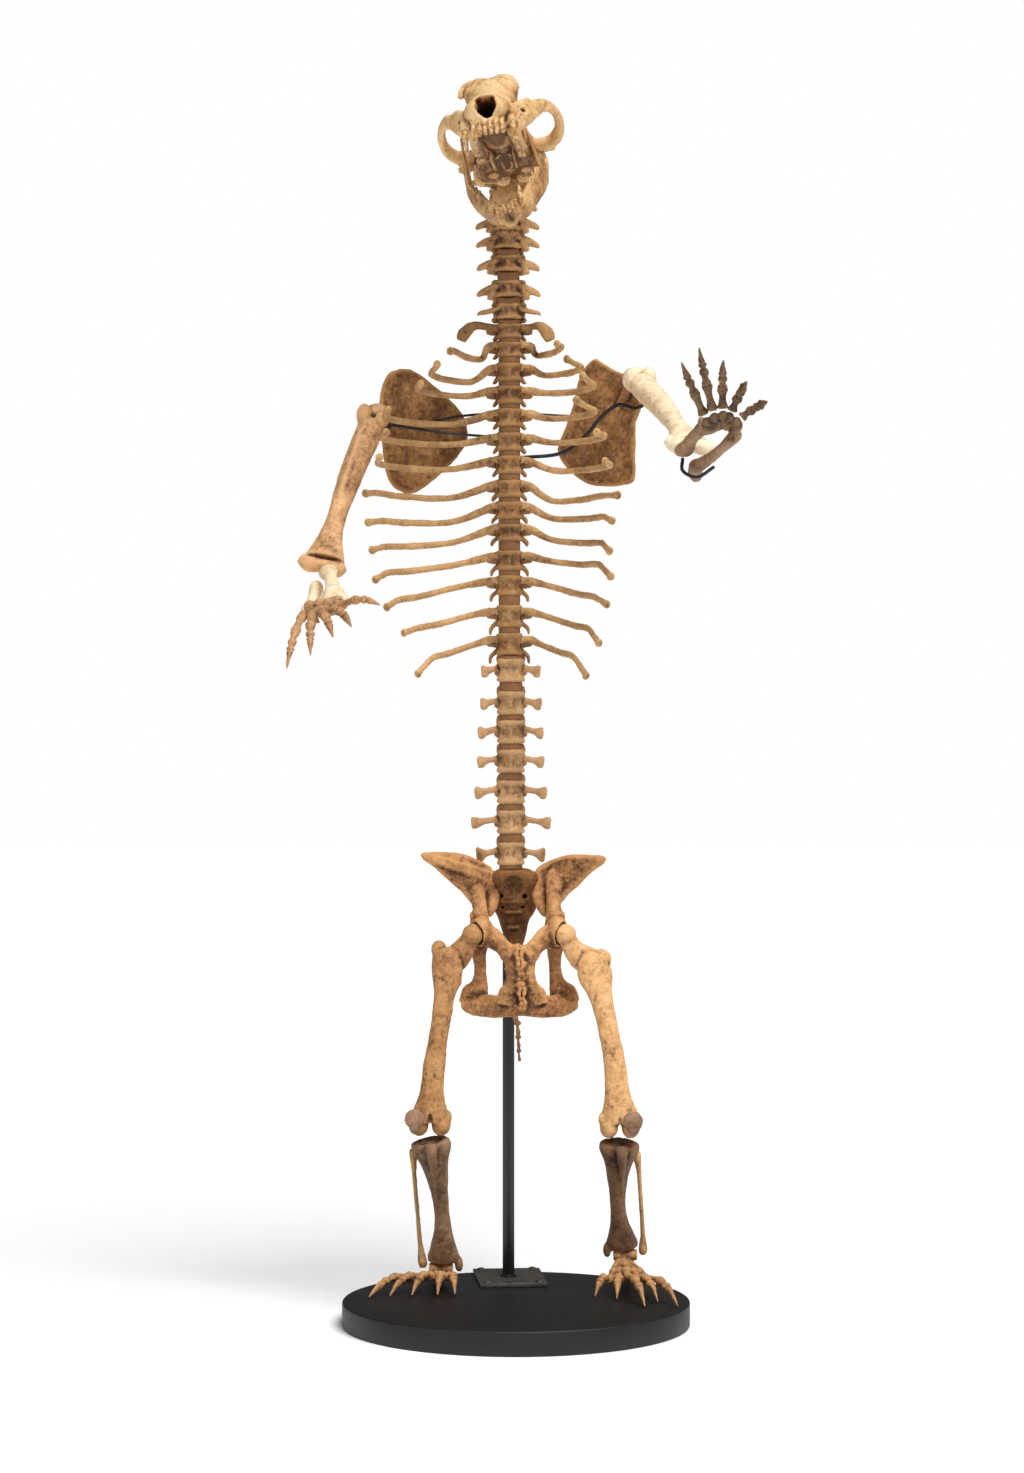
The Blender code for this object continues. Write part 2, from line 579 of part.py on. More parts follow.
def hip_bone(name, s, look):
    """Iliac wing, hip socket, and the ring of pubis and ischium round its opening."""
    def at(x, y, z):
        return (pelvis_x(z) + s * x, y, z)

    def wing(u, v, depth):
        rise = -s * 0.03 * max(0.0, u - 0.06)
        bowl = 0.012 * math.sin(math.pi * min(1.0, max(0.0, (u - 0.05) / 0.14)))
        return Vector(at(u, 0.166 - 0.52 * max(0.0, u - 0.062) + bowl + depth, v + rise))

    hip = Vector(HIPS[0 if s < 0 else 1])
    bm = bmesh.new()
    plate(
        bm,
        ((0.056, 0.948), (0.064, 0.954), (0.084, 0.968), (0.112, 0.980), (0.147, 0.983), (0.184, 0.984),
         (0.198, 0.978), (0.190, 0.968), (0.165, 0.955), (0.142, 0.932), (0.119, 0.911), (0.100, 0.900),
         (0.094, 0.880), (0.094, 0.856), (0.076, 0.846), (0.066, 0.862), (0.062, 0.880), (0.060, 0.900),
         (0.057, 0.925)),
        0.015,
        wing,
    )
    # Thick border of the wing, its joint with the sacrum, and the waist down to the socket
    tube(bm, ((*wing(0.056, 0.946, 0.002), 0.007, 0.012), (*wing(0.084, 0.964, 0.0), 0.007, 0.012),
              (*wing(0.118, 0.976, 0.0), 0.007, 0.011), (*wing(0.160, 0.978, 0.0), 0.007, 0.010),
              (*wing(0.190, 0.977, 0.0), 0.006, 0.009)), wide=(0, 0, 1))
    tube(bm, ((*at(0.067, 0.164, 0.938), 0.010, 0.012), (*at(0.070, 0.162, 0.905), 0.010, 0.013),
              (*at(0.069, 0.160, 0.876), 0.010, 0.014)))
    tube(bm, ((*at(0.088, 0.154, 0.935), 0.018, 0.009), (*at(0.082, 0.148, 0.898), 0.0165, 0.012),
              (*at(0.079, 0.140, 0.868), 0.0150, 0.016), (*at(0.081, 0.130, 0.842), 0.0215, 0.020),
              (*at(0.080, 0.120, 0.816), 0.026, 0.024)))
    # Pubis to the seam, the seam itself, ischium, and the bar from it back to the seam
    tube(bm, ((*at(0.080, 0.112, 0.816), 0.025, 0.018), (*at(0.052, 0.096, 0.802), 0.0235, 0.013),
              (*at(0.034, 0.085, 0.786), 0.0190, 0.011), (*at(0.0160, 0.078, 0.770), 0.0170, 0.010)),
         wide=(0, 0, 1))
    seam = ((0.046, 0.082, 0.786), (0.036, 0.086, 0.757), (0.0325, 0.090, 0.725), (0.040, 0.099, 0.698),
            (0.052, 0.108, 0.672))
    tube(bm, [(*at(edge / 2 + 0.0003, y, z), edge / 2, 0.011) for edge, y, z in seam])
    lean = -0.006 * s
    tube(bm, ((*at(0.082 + lean * 0.3, 0.126, 0.815), 0.024, 0.020),
              (*at(0.081 + lean, 0.140, 0.773), 0.0170, 0.016),
              (*at(0.0805 + lean, 0.150, 0.737), 0.0134, 0.015),
              (*at(0.086 + lean, 0.156, 0.698), 0.0215, 0.014),
              (*at(0.100 + lean, 0.156, 0.664), 0.0320, 0.012)))
    tube(bm, ((*at(0.124 + lean, 0.158, 0.664), 0.014, 0.009),
              (*at(0.102 + lean, 0.154, 0.658), 0.024, 0.012),
              (*at(0.075, 0.143, 0.656), 0.0255, 0.012), (*at(0.048, 0.130, 0.656), 0.0250, 0.011),
              (*at(0.022, 0.112, 0.661), 0.0265, 0.011)), wide=(0, 0, 1))
    knob(bm, hip + Vector((-s * 0.018, 0.012, 0.006)), (0.025, 0.032, 0.034))
    hollow = (tuple(hip), (0.0275, 0.0275, 0.0275), (-s * 0.9, 0.3, 0.1))
    fuse(name, bm, look, 320, 0.0032, (hollow,))


def tail(look):
    bm = bmesh.new()
    rows = []
    bones = 8
    for k in range(bones):
        t = k / bones
        z = 0.764 - 0.236 * t
        size = 0.0112 - 0.0078 * t
        y = 0.206 + 0.006 * math.sin(math.pi * t)
        x = -0.004 + 0.012 * t - 0.014 * math.sin(math.pi * min(1.0, t / 0.55))
        rows += [(x, y, z, size, size * 0.8), (x, y, z - 0.014, size * 0.6, size * 0.55)]
    tube(bm, rows, sides=8, steps=2)
    fuse("tail", bm, look, 90, 0.0020, rounding=1)


# ---------------------------------------------------------------- hind legs


def femur(name, label, s, hip, knee, look):
    hip = Vector(hip)
    back, front = hip.y - 0.006, knee[1] + 0.008
    bm = bmesh.new()
    rows = []
    for x, z, half in FEMUR_SHAFTS[label]:
        t = (0.79 - z) / 0.38
        depth = 0.0185 + 0.0075 * max(0.0, t - 0.75) / 0.25
        rows.append((x, back + (front - back) * t - 0.020 * math.sin(math.pi * min(t, 1.0)), z, half, depth))
    tube(bm, rows)
    (x, z), (half, tall) = TROCHANTERS[label]
    outer = Vector((x, hip.y + 0.002, z))
    knob(bm, hip, (0.0235, 0.0235, 0.0235))
    neck = [(*hip, 0.0170, 0.016)]
    neck += [(x, hip.y + 0.001, z, up, 0.0145) for x, z, up in FEMUR_NECKS[label]]
    tube(bm, neck, wide=(0, 0, 1))
    knob(bm, outer, (half, 0.018, tall))
    knob(bm, (rows[3][0] - s * 0.022, rows[3][1] + 0.006, rows[3][2] + 0.004), (0.0100, 0.010, 0.016))
    for side in (-1, 1):
        knob(bm, Vector(knee) + Vector((side * 0.023, 0.014, 0.014)), (0.020, 0.029, 0.024))
    fuse(name, bm, look, 210, 0.0030)


def patella(name, knee, look):
    bm = bmesh.new()
    middle = Vector(knee) + Vector((-0.032 if knee[0] < 0 else 0.026, -0.0255, 0.030))
    knob(bm, middle, (0.022, 0.011, 0.023))
    knob(bm, middle - Vector((0, 0, 0.014)), (0.013, 0.009, 0.018))
    fuse(name, bm, look, 48, 0.0022)


def tibia(name, s, knee, ankle, look):
    top = Vector(knee) + Vector((0, 0.014, -0.020))
    low = Vector(ankle)
    bm = bmesh.new()
    rows = []
    for t, a, b in ((0, 0.043, 0.026), (0.07, 0.043, 0.030), (0.25, 0.027, 0.026), (0.52, 0.0175, 0.019),
                    (0.72, 0.019, 0.018), (0.90, 0.031, 0.020), (1.0, 0.035, 0.021)):
        rows.append((*along(top, low, t, (-s * 0.008 * math.sin(math.pi * t), 0, 0)), a, b))
    tube(bm, rows)
    knob(bm, top + Vector((0.004, -0.026, -0.022)), (0.013, 0.012, 0.024))
    knob(bm, low + Vector((-s * 0.033, 0, -0.006)), (0.009, 0.014, 0.017))
    fuse(name, bm, look, 150, 0.0030)


def fibula(name, s, knee, ankle, look):
    top = Vector(knee) + Vector((s * 0.037, 0.046, -0.044))
    low = Vector(ankle) + Vector((s * 0.044, 0.006, -0.014))
    bm = bmesh.new()
    rows = []
    for t, a, b in ((0, 0.008, 0.010), (0.10, 0.008, 0.010), (0.25, 0.0055, 0.006), (0.75, 0.0055, 0.006),
                    (0.90, 0.008, 0.010), (1.0, 0.009, 0.012)):
        rows.append((*along(top, low, t, (s * 0.003 * math.sin(math.pi * t), 0, 0)), a, b))
    tube(bm, rows, sides=8)
    fuse(name, bm, look, 56, 0.0022)


def digit_line(base, tip, arch):
    """The arched line of a digit from its root to its claw tip."""
    base, tip = Vector(base), Vector(tip)
    bend = base.lerp(tip, 0.5) + Vector(arch)
    return lambda t: base * (1 - t) ** 2 + bend * 2 * t * (1 - t) + tip * t**2


def digit(name, line, thick, look, claw=0.30, faces=58):
    """Metacarpal or metatarsal, two phalanges and a claw, along one arched line."""
    bm = bmesh.new()
    joints = (0.0, 0.40, 0.60, 1 - claw)
    rows = []
    for k, (t0, t1) in enumerate(zip(joints, joints[1:])):
        size = thick * (1 - 0.10 * k)
        for part, swell in ((0.0, 0.95), (0.08, 1.05), (0.25, 0.85), (0.55, 0.72), (0.90, 1.0)):
            rows.append((*line(t0 + (t1 - t0) * part), size * swell, size * swell))
    for part, swell in ((0.12, 0.95), (0.40, 0.72), (0.75, 0.48), (1.0, 0.28)):
        rows.append((*line(1 - claw * (1 - part)), thick * swell * 0.7, thick * swell))
    tube(bm, rows, wide=(0.9, 0.1, 0.2), sides=8, steps=2)
    fuse(name, bm, look, faces, 0.0020, rounding=1)


def root_knob(bm, line, thick, straight=0.0):
    """The wrist or ankle bone that carries one digit, close behind the digit's root."""
    back = (line(0.0) - line(0.02)).normalized().lerp(Vector((0, 1, 0)), straight)
    centre = line(0.0) + back * (thick * 1.45)
    knob(bm, centre, (thick,) * 3)
    return centre


def tarsus(name, s, ankle, lines, look):
    """Ankle bones: pulley under the shin, heel behind, and the row that carries the toes."""
    x, y, z = ankle
    bm = bmesh.new()
    tube(bm, ((x - s * 0.020, y, z - 0.0165, 0.014, 0.012), (x + s * 0.031, y, z - 0.0165, 0.014, 0.012)),
         wide=(0, 1, 0))
    heel = Vector((x + s * 0.014, y + 0.070, BASE_HEIGHT + 0.0212))
    tube(bm, ((x + s * 0.004, y + 0.004, z - 0.020, 0.018, 0.014),
              (*along((x, y, z - 0.024), heel, 0.5), 0.016, 0.016), (*heel, 0.017, 0.016)))
    knob(bm, heel, (0.018, 0.018, 0.020))
    for line in lines:
        centre = root_knob(bm, line, TOE_HALF, straight=0.8)
        tube(bm, ((x, y - 0.002, z - 0.026, 0.014, 0.010),
                  (*(centre + Vector((0, 0.003, -0.002))), 0.008, 0.008)), wide=(1, 0.2, 0), steps=1)
    fuse(name, bm, look, 150, 0.0028)


def hind_foot(label, s, ankle, tips, row_centre, look):
    """Five toes spread from the ankle bones to their claw tips on the base."""
    lines = []
    for k, tip in enumerate(tips):
        spread = Vector((s * (k - 2) * TOE_PITCH, 0.005 * abs(k - 2), -0.003 * abs(k - 2)))
        base = Vector(row_centre) + spread
        lines.append(digit_line(base, (*tip, BASE_HEIGHT + 0.0045), (0, 0, 0.040)))
    tarsus("tarsus_" + label, s, ankle, lines, look)
    for k, line in enumerate(lines):
        digit(f"toe_{label}_{k + 1}", line, TOE_HALF, look)


# ---------------------------------------------------------------- fore limbs


def scapula(name, s, outline, look):
    """Shoulder blade: a dished plate whose ridge stands on its rear face."""
    def blade(u, v, depth):
        return Vector((s * u, 0.275 - 0.62 * (u - 0.11) + depth, v))

    bm = bmesh.new()
    plate(bm, outline, 0.008, blade)
    shoulder = SHOULDERS[0 if s < 0 else 1]
    socket = Vector(shoulder) + Vector((-s * 0.014, 0.049, 0.008))
    knob(bm, socket, (0.020, 0.018, 0.026))
    low_middle = blade(0.180, 1.815, 0.008)
    tube(bm, ((*low_middle, 0.005, 0.010), (*along(low_middle, socket, 0.5, (0, 0.020, 0)), 0.006, 0.016),
              (*along(socket, low_middle, 0.0, (s * 0.004, 0.014, 0.010)), 0.008, 0.010)), wide=(0, 1, 0.2))
    fuse(name, bm, look, 190, 0.0032)


def humerus(name, s, shoulder, elbow, lean, look):
    shoulder, elbow = Vector(shoulder), Vector(elbow)
    bm = bmesh.new()
    rows = []
    for t, a, b in ((0.04, 0.028, 0.026), (0.12, 0.029, 0.027), (0.30, 0.027, 0.026), (0.50, 0.024, 0.023),
                    (0.68, 0.021, 0.019), (0.82, 0.028, 0.019), (0.94, 0.044, 0.018)):
        rows.append((*along(shoulder, elbow, t, (s * 0.008 * math.sin(math.pi * t), 0, 0)), a, b))
    tube(bm, rows)
    knob(bm, shoulder + Vector((-s * 0.004, 0.006, 0.004)), (0.030, 0.026, 0.028))
    knob(bm, shoulder + Vector((s * 0.022, -0.012, 0.004)), (0.017, 0.020, 0.026))
    knob(bm, shoulder + Vector((-s * 0.014, -0.024, -0.006)), (0.012, 0.012, 0.016))
    tube(bm, ((*along(shoulder, elbow, 0.16, (s * 0.016, -0.014, 0)), 0.008, 0.012),
              (*along(shoulder, elbow, 0.50, (s * 0.014, -0.018, 0)), 0.010, 0.012),
              (*along(shoulder, elbow, 0.62, (s * 0.006, -0.006, 0)), 0.006, 0.006)))
    outer = elbow + Vector((s * 0.046, 0.004, lean + 0.012))
    inner = elbow + Vector((-s * 0.048, 0.004, 0.014 - lean))
    tube(bm, ((*outer, 0.010, 0.012), (*along(outer, inner, 0.25, (0, -0.002, -0.010)), 0.018, 0.017),
              (*along(outer, inner, 0.5, (0, -0.002, -0.008)), 0.015, 0.015),
              (*along(outer, inner, 0.75, (0, -0.002, -0.012)), 0.019, 0.018), (*inner, 0.011, 0.012)),
         wide=(0, 1, 0))
    fuse(name, bm, look, 210, 0.0030)


def long_bone(name, rows, look, faces, extras=()):
    bm = bmesh.new()
    tube(bm, rows, wide=(1, 0, 0.3))
    for centre, size in extras:
        knob(bm, centre, size)
    fuse(name, bm, look, faces, 0.0026)


def forearm(label, s, elbow, wrist, inner_out, look):
    """Radius on the inner side and ulna on the outer side, whose elbow end hooks behind the joint."""
    elbow, wrist = Vector(elbow), Vector(wrist)
    near = elbow + Vector((-s * 0.014, -0.030, -0.010))
    far = wrist + Vector((-s * inner_out, -0.002, 0.006))
    rows = [(*along(near, far, t, (0, 0, 0.010 * math.sin(math.pi * t))), a, b)
            for t, a, b in ((0, 0.021, 0.015), (0.10, 0.019, 0.014), (0.35, 0.014, 0.012),
                            (0.65, 0.015, 0.013),
                            (0.88, 0.024, 0.016), (1.0, 0.025, 0.016))]
    long_bone("radius_" + label, rows, look, 96)
    heel = elbow + Vector((s * 0.012, 0.030, -0.052))
    low = wrist + Vector((s * 0.030, 0.004, -0.010))
    notch = elbow + Vector((s * 0.010, -0.022, -0.042))
    rows = [(*heel, 0.014, 0.018), (*along(heel, notch, 0.45), 0.013, 0.018), (*notch, 0.014, 0.016)]
    rows += [(*along(notch, low, t, (0, 0, -0.006 * math.sin(math.pi * t))), a, a)
             for t, a in ((0.35, 0.012), (0.65, 0.0105), (0.9, 0.013), (1.0, 0.012))]
    long_bone("ulna_" + label, rows, look, 116)


def carpus(name, s, centre, lines, look):
    """Two rows of wrist bones as one block, with the pisiform standing out."""
    c = Vector(centre)
    bm = bmesh.new()
    for k in range(4):
        out = (k - 1.5) * 0.018
        knob(bm, c + Vector((out, 0, 0.004 - abs(out) * 0.2)), (0.013, 0.014, 0.015))
    for line in lines:
        root = root_knob(bm, line, FINGER_HALF)
        tube(bm, ((*c, 0.012, 0.012), (*root, 0.009, 0.009)), wide=(1, 0.2, 0.1), steps=1)
    tube(bm, ((*(c + Vector((s * 0.022, 0.004, -0.006))), 0.009, 0.009),
              (*(c + Vector((s * 0.016, 0.006, -0.032))), 0.009, 0.009)))
    fuse(name, bm, look, 110, 0.0026)


def hand(label, s, centre, bases, tips, arch, look):
    lines = [digit_line(base, tip, arch) for base, tip in zip(bases, tips)]
    carpus("carpus_" + label, s, centre, lines, look)
    for k, line in enumerate(lines):
        digit(f"finger_{label}_{k + 1}", line, FINGER_HALF, look, claw=0.27)


# ---------------------------------------------------------------- stand


def stand(black, steel):
    bpy.ops.mesh.primitive_cylinder_add(vertices=40, radius=BASE_RADIUS, depth=BASE_HEIGHT,
                                        location=(0, 0, BASE_HEIGHT / 2))
    base = bpy.context.object
    base.name = "stand_base"
    base.data.materials.append(black)
    edge = base.modifiers.new("Eased edge", "BEVEL")
    edge.width = 0.003
    edge.segments = 1
    edge.limit_method = "ANGLE"

    bm = bmesh.new()
    turn = Matrix.Rotation(PLATE_TURN, 4, "Z")
    floor = BASE_HEIGHT + GAP
    middle = Matrix.Translation((*PLATE_CENTRE, floor + PLATE_SIZE[2] / 2))
    bmesh.ops.create_cube(bm, size=1, matrix=middle @ turn @ Matrix.Diagonal((*PLATE_SIZE, 1)))
    mesh = bpy.data.meshes.new("stand_plate")
    bm.to_mesh(mesh)
    bm.free()
    make_object("stand_plate", mesh, steel)

    bottom = floor + PLATE_SIZE[2] + GAP
    bm = bmesh.new()
    tall = Matrix.Translation((*POST_PLACE, (bottom + POST_TOP) / 2)) @ Matrix.Rotation(math.pi / 4, 4, "Z")
    tall @= Matrix.Diagonal((POST_SIDE, POST_SIDE, POST_TOP - bottom, 1))
    bmesh.ops.create_cube(bm, size=1, matrix=tall)
    mesh = bpy.data.meshes.new("stand_post")
    bm.to_mesh(mesh)
    bm.free()
    make_object("stand_post", mesh, black)
    make_object("stand_post_arm", block_mesh(ARM_SIZE, ARM_CENTRE), black)


def rod(name, points, look, radius=ROD_RADIUS):
    bm = bmesh.new()
    tube(bm, [(*p, radius, radius) for p in points], wide=(0.1, 0.2, 1), sides=6, steps=2)
    bmesh.ops.recalc_face_normals(bm, faces=bm.faces)
    mesh = bpy.data.meshes.new(name)
    bm.to_mesh(mesh)
    bm.free()
    make_object(name, mesh, look)


# ---------------------------------------------------------------- assembly


def build():
    clear_scene()
    tan = finish("skull_bone", (0.48, 0.33, 0.17), 0.6)
    ochre = finish("rib_bone", (0.42, 0.25, 0.09), 0.6)
    brown = finish("vertebra_bone", (0.22, 0.14, 0.08), 0.65)
    pale = finish("pale_bone", (0.62, 0.50, 0.32), 0.55)
    dark = finish("dark_bone", (0.12, 0.07, 0.04), 0.65)
    orange = finish("pelvis_bone", (0.38, 0.20, 0.08), 0.6)
    black = finish("black_paint", (0.02, 0.02, 0.022), 0.6)
    steel = finish("dark_steel", (0.07, 0.06, 0.055), 0.5, 0.6)

    stand(black, steel)
    skull(tan)
    mandible(tan)
    neck_vertebrae(brown)
    rib_cage("rib_cage_right", -1, RIBS_RIGHT, ochre)
    rib_cage("rib_cage_left", 1, RIBS_LEFT, ochre)
    lumbar_vertebrae(brown)
    sacrum(orange)
    hip_bone("hip_bone_right", -1, orange)
    hip_bone("hip_bone_left", 1, orange)
    tail(brown)
    for s, label, hip, knee, ankle in zip((-1, 1), ("right", "left"), HIPS, KNEES, ANKLES):
        femur("femur_" + label, label, s, hip, knee, ochre)
        patella("patella_" + label, knee, brown)
        tibia("tibia_" + label, s, knee, ankle, brown)
        fibula("fibula_" + label, s, knee, ankle, ochre)
    hind_foot("right", -1, ANKLES[0], ((-0.129, 0.040), (-0.1655, 0.030), (-0.2200, 0.028), (-0.266, 0.022),
                                       (-0.309, 0.004)),
              (-0.181, 0.100, 0.082), ochre)
    hind_foot("left", 1, ANKLES[1], ((0.1662, 0.011), (0.2117, -0.013), (0.2667, -0.102), (0.296, -0.048),
                                     (0.335, -0.102)),
              (0.240, 0.060, 0.086), ochre)
    scapula(
        "scapula_right", -1,
        ((0.248, 2.024), (0.215, 2.018), (0.160, 1.976), (0.122, 1.938), (0.110, 1.904), (0.116, 1.868),
         (0.160, 1.814), (0.218, 1.766), (0.246, 1.766), (0.272, 1.790), (0.284, 1.860), (0.290, 1.950),
         (0.276, 2.008)),
        ochre,
    )
    scapula(
        "scapula_left", 1,
        ((0.173, 2.052), (0.215, 2.022), (0.245, 2.006), (0.270, 1.955), (0.250, 1.905), (0.252, 1.850),
         (0.254, 1.800),
         (0.240, 1.782), (0.176, 1.782), (0.142, 1.798), (0.112, 1.826), (0.096, 1.862), (0.112, 1.908),
         (0.130, 1.960), (0.146, 2.024)),
        ochre,
    )
    humerus("humerus_right", -1, SHOULDERS[0], ELBOWS[0], 0.010, ochre)
    humerus("humerus_left", 1, SHOULDERS[1], ELBOWS[1], -0.004, pale)
    forearm("right", -1, ELBOWS[0], WRISTS[0], 0.026, pale)
    forearm("left", 1, ELBOWS[1], WRISTS[1], 0.020, brown)
    hand(
        "right", -1, (-0.382, -0.3785, 1.492),
        ((-0.346, -0.404, 1.492), (-0.362, -0.414, 1.482), (-0.383, -0.417, 1.476), (-0.404, -0.415, 1.472),
         (-0.423, -0.407, 1.470)),
        ((-0.268, -0.440, 1.492), (-0.321, -0.490, 1.447), (-0.356, -0.510, 1.426), (-0.400, -0.510, 1.391),
         (-0.447, -0.500, 1.366)),
        (0.0, -0.040, 0.022), brown,
    )
    hand(
        "left", 1, (0.396, -0.575, 1.834),
        ((0.360, -0.594, 1.850), (0.376, -0.602, 1.858), (0.395, -0.605, 1.862), (0.413, -0.602, 1.858),
         (0.432, -0.594, 1.846)),
        ((0.312, -0.675, 1.942), (0.344, -0.700, 1.967), (0.390, -0.700, 1.943), (0.435, -0.695, 1.903),
         (0.475, -0.675, 1.868)),
        (0.0, 0.034, 0.006), dark,
    )
    rod("stand_shoulder_rod_right",
        ((-0.034, 0.222, 1.936), (-0.120, 0.232, 1.930), (-0.205, 0.204, 1.912), (-0.262, 0.166, 1.904),
         (-0.290, 0.142, 1.886)), black)
    rod("stand_shoulder_rod_left", ((0.008, 0.222, 1.936), (0.080, 0.232, 1.932), (0.140, 0.222, 1.928)),
        black)
    rod("stand_arm_rod_left",
        ((0.008, 0.215, 1.838), (0.098, 0.215, 1.848), (0.152, 0.205, 1.886), (0.182, 0.195, 1.922),
         (0.220, 0.168, 1.948),
         (0.256, 0.120, 1.936), (0.281, 0.090, 1.944), (0.298, 0.050, 1.935), (0.328, -0.030, 1.887)), black,
        0.0040)
    rod("stand_elbow_bracket",
        ((0.334, -0.306, 1.792), (0.334, -0.316, 1.766), (0.362, -0.335, 1.752), (0.393, -0.362, 1.770)),
        black, 0.0035)


build()
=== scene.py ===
import math

import bmesh
import bpy
import numpy as np
from mathutils import Euler, Matrix, Vector


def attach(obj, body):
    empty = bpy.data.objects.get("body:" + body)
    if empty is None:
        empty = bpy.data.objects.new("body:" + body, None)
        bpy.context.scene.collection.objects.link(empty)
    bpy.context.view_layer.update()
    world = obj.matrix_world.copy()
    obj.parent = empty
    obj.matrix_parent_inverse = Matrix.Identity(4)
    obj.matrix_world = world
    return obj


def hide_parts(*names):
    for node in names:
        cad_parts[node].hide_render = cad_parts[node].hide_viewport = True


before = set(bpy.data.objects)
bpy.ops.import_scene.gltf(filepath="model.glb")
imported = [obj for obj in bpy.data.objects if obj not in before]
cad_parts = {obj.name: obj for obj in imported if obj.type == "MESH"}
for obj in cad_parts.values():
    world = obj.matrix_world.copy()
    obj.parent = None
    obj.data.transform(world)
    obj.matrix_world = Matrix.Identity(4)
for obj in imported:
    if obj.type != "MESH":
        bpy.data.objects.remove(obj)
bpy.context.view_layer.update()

# ---------------------------------------------------------------- studio
# The mount is lit as a museum lights one for a catalogue: a large soft lamp high at the front right, a weak
# one at the left, a plain pale room and a white floor. The camera stands level, 6.8 m in front.

CAMERA_PLACE = (-0.0084, -6.8, 1.234)
CAMERA_LENS = 79.1
SENSOR_WIDTH = 36.0
KEY_LAMP = {"toward": (0.5, -0.8, 1.45), "angle": 34, "strength": 3.5}
SIDE_LAMP = {"toward": (-0.9, -0.75, 0.55), "angle": 60, "strength": 0.4}
FLOOR_SIZE = 60
FLOOR_DROP = 0.0005

bpy.ops.object.select_all(action="DESELECT")
bpy.ops.object.camera_add(location=CAMERA_PLACE, rotation=(math.pi / 2, 0, 0))
camera = bpy.context.object
camera.data.lens = CAMERA_LENS
camera.data.sensor_width = SENSOR_WIDTH
bpy.context.scene.camera = camera


def soft_sun(toward, angle, strength):
    """A broad soft source far away, shining from the direction toward."""
    bpy.ops.object.light_add(type="SUN", rotation=Vector(toward).to_track_quat("Z", "Y").to_euler())
    bpy.context.object.data.angle = math.radians(angle)
    bpy.context.object.data.energy = strength


soft_sun(**KEY_LAMP)
soft_sun(**SIDE_LAMP)

# The wall behind is pure white to the camera, and the room fills the shadows with much less light
ROOM_FILL = 0.13

room = bpy.data.worlds.new("bright_room")
bpy.context.scene.world = room
room.use_nodes = True
wall = room.node_tree.nodes["Background"]
wall.inputs["Color"].default_value = (1, 1, 1, 1)
seen = room.node_tree.nodes.new("ShaderNodeLightPath")
level = room.node_tree.nodes.new("ShaderNodeMapRange")
level.inputs["To Min"].default_value = ROOM_FILL
room.node_tree.links.new(seen.outputs["Is Camera Ray"], level.inputs["Value"])
room.node_tree.links.new(level.outputs["Result"], wall.inputs["Strength"])
bpy.context.scene.view_settings.view_transform = "Standard"


def linear(code):
    """Linear colour of an sRGB hex code."""
    parts = [int(code[k : k + 2], 16) / 255 for k in (0, 2, 4)]
    return (*[p / 12.92 if p <= 0.04045 else ((p + 0.055) / 1.055) ** 2.4 for p in parts], 1.0)


def add_node(tree, kind, settings=None, links=None):
    """One node; settings name its properties or sockets, and links are {socket: (node, output)}."""
    new = tree.nodes.new(kind)
    for key, value in (settings or {}).items():
        if isinstance(key, str) and hasattr(new, key):
            setattr(new, key, value)
        else:
            new.inputs[key].default_value = value
    for key, (source, output) in (links or {}).items():
        tree.links.new(source.outputs[output], new.inputs[key])
    return new


def plain_finish(name, colour, roughness):
    """A new material with one colour and roughness, its node tree, and its shader."""
    look = bpy.data.materials.new(name)
    look.use_nodes = True
    shader = look.node_tree.nodes["Principled BSDF"]
    shader.inputs["Base Color"].default_value = linear(colour)
    shader.inputs["Roughness"].default_value = roughness
    return look, look.node_tree, shader


# The floor lies a hair below the base, so that the two faces never share a plane
bpy.ops.object.select_all(action="DESELECT")
bpy.ops.mesh.primitive_plane_add(size=FLOOR_SIZE, location=(0, 0, -FLOOR_DROP))
floor = bpy.context.object
floor.name = "floor"
floor.data.materials.append(plain_finish("white_floor_paint", "FFFFFF", 0.9)[0])

# ---------------------------------------------------------------- display base
# A round board 730 mm across and 50 mm thick, turned from a sheet and sprayed matt black. Its two rims are
# eased, and handling has left the paint a little greyer and smoother in places.

BASE_RADIUS = 0.365
BASE_HEIGHT = 0.05
RIM = 0.003
EASE_STEPS = 3
EASE_ANGLE = math.radians(35)


def own_piece(name, nodes, look):
    """Name the finished piece, dress it, and let it stand for its CAD nodes."""
    piece = bpy.context.object
    bpy.ops.object.transform_apply(location=True, rotation=True, scale=True)
    piece.name = name
    piece.data.name = name
    piece.data.materials.clear()
    piece.data.materials.append(look)
    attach(piece, "root")
    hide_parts(*nodes)


def eased(piece, width):
    """Round the piece's sharp edges, as filing or a sprayed coat does."""
    bevel = piece.modifiers.new("Eased edges", "BEVEL")
    bevel.width = width
    bevel.segments = EASE_STEPS
    bevel.limit_method = "ANGLE"
    bpy.ops.object.modifier_apply(modifier=bevel.name)
    bpy.ops.object.shade_smooth_by_angle(angle=EASE_ANGLE)


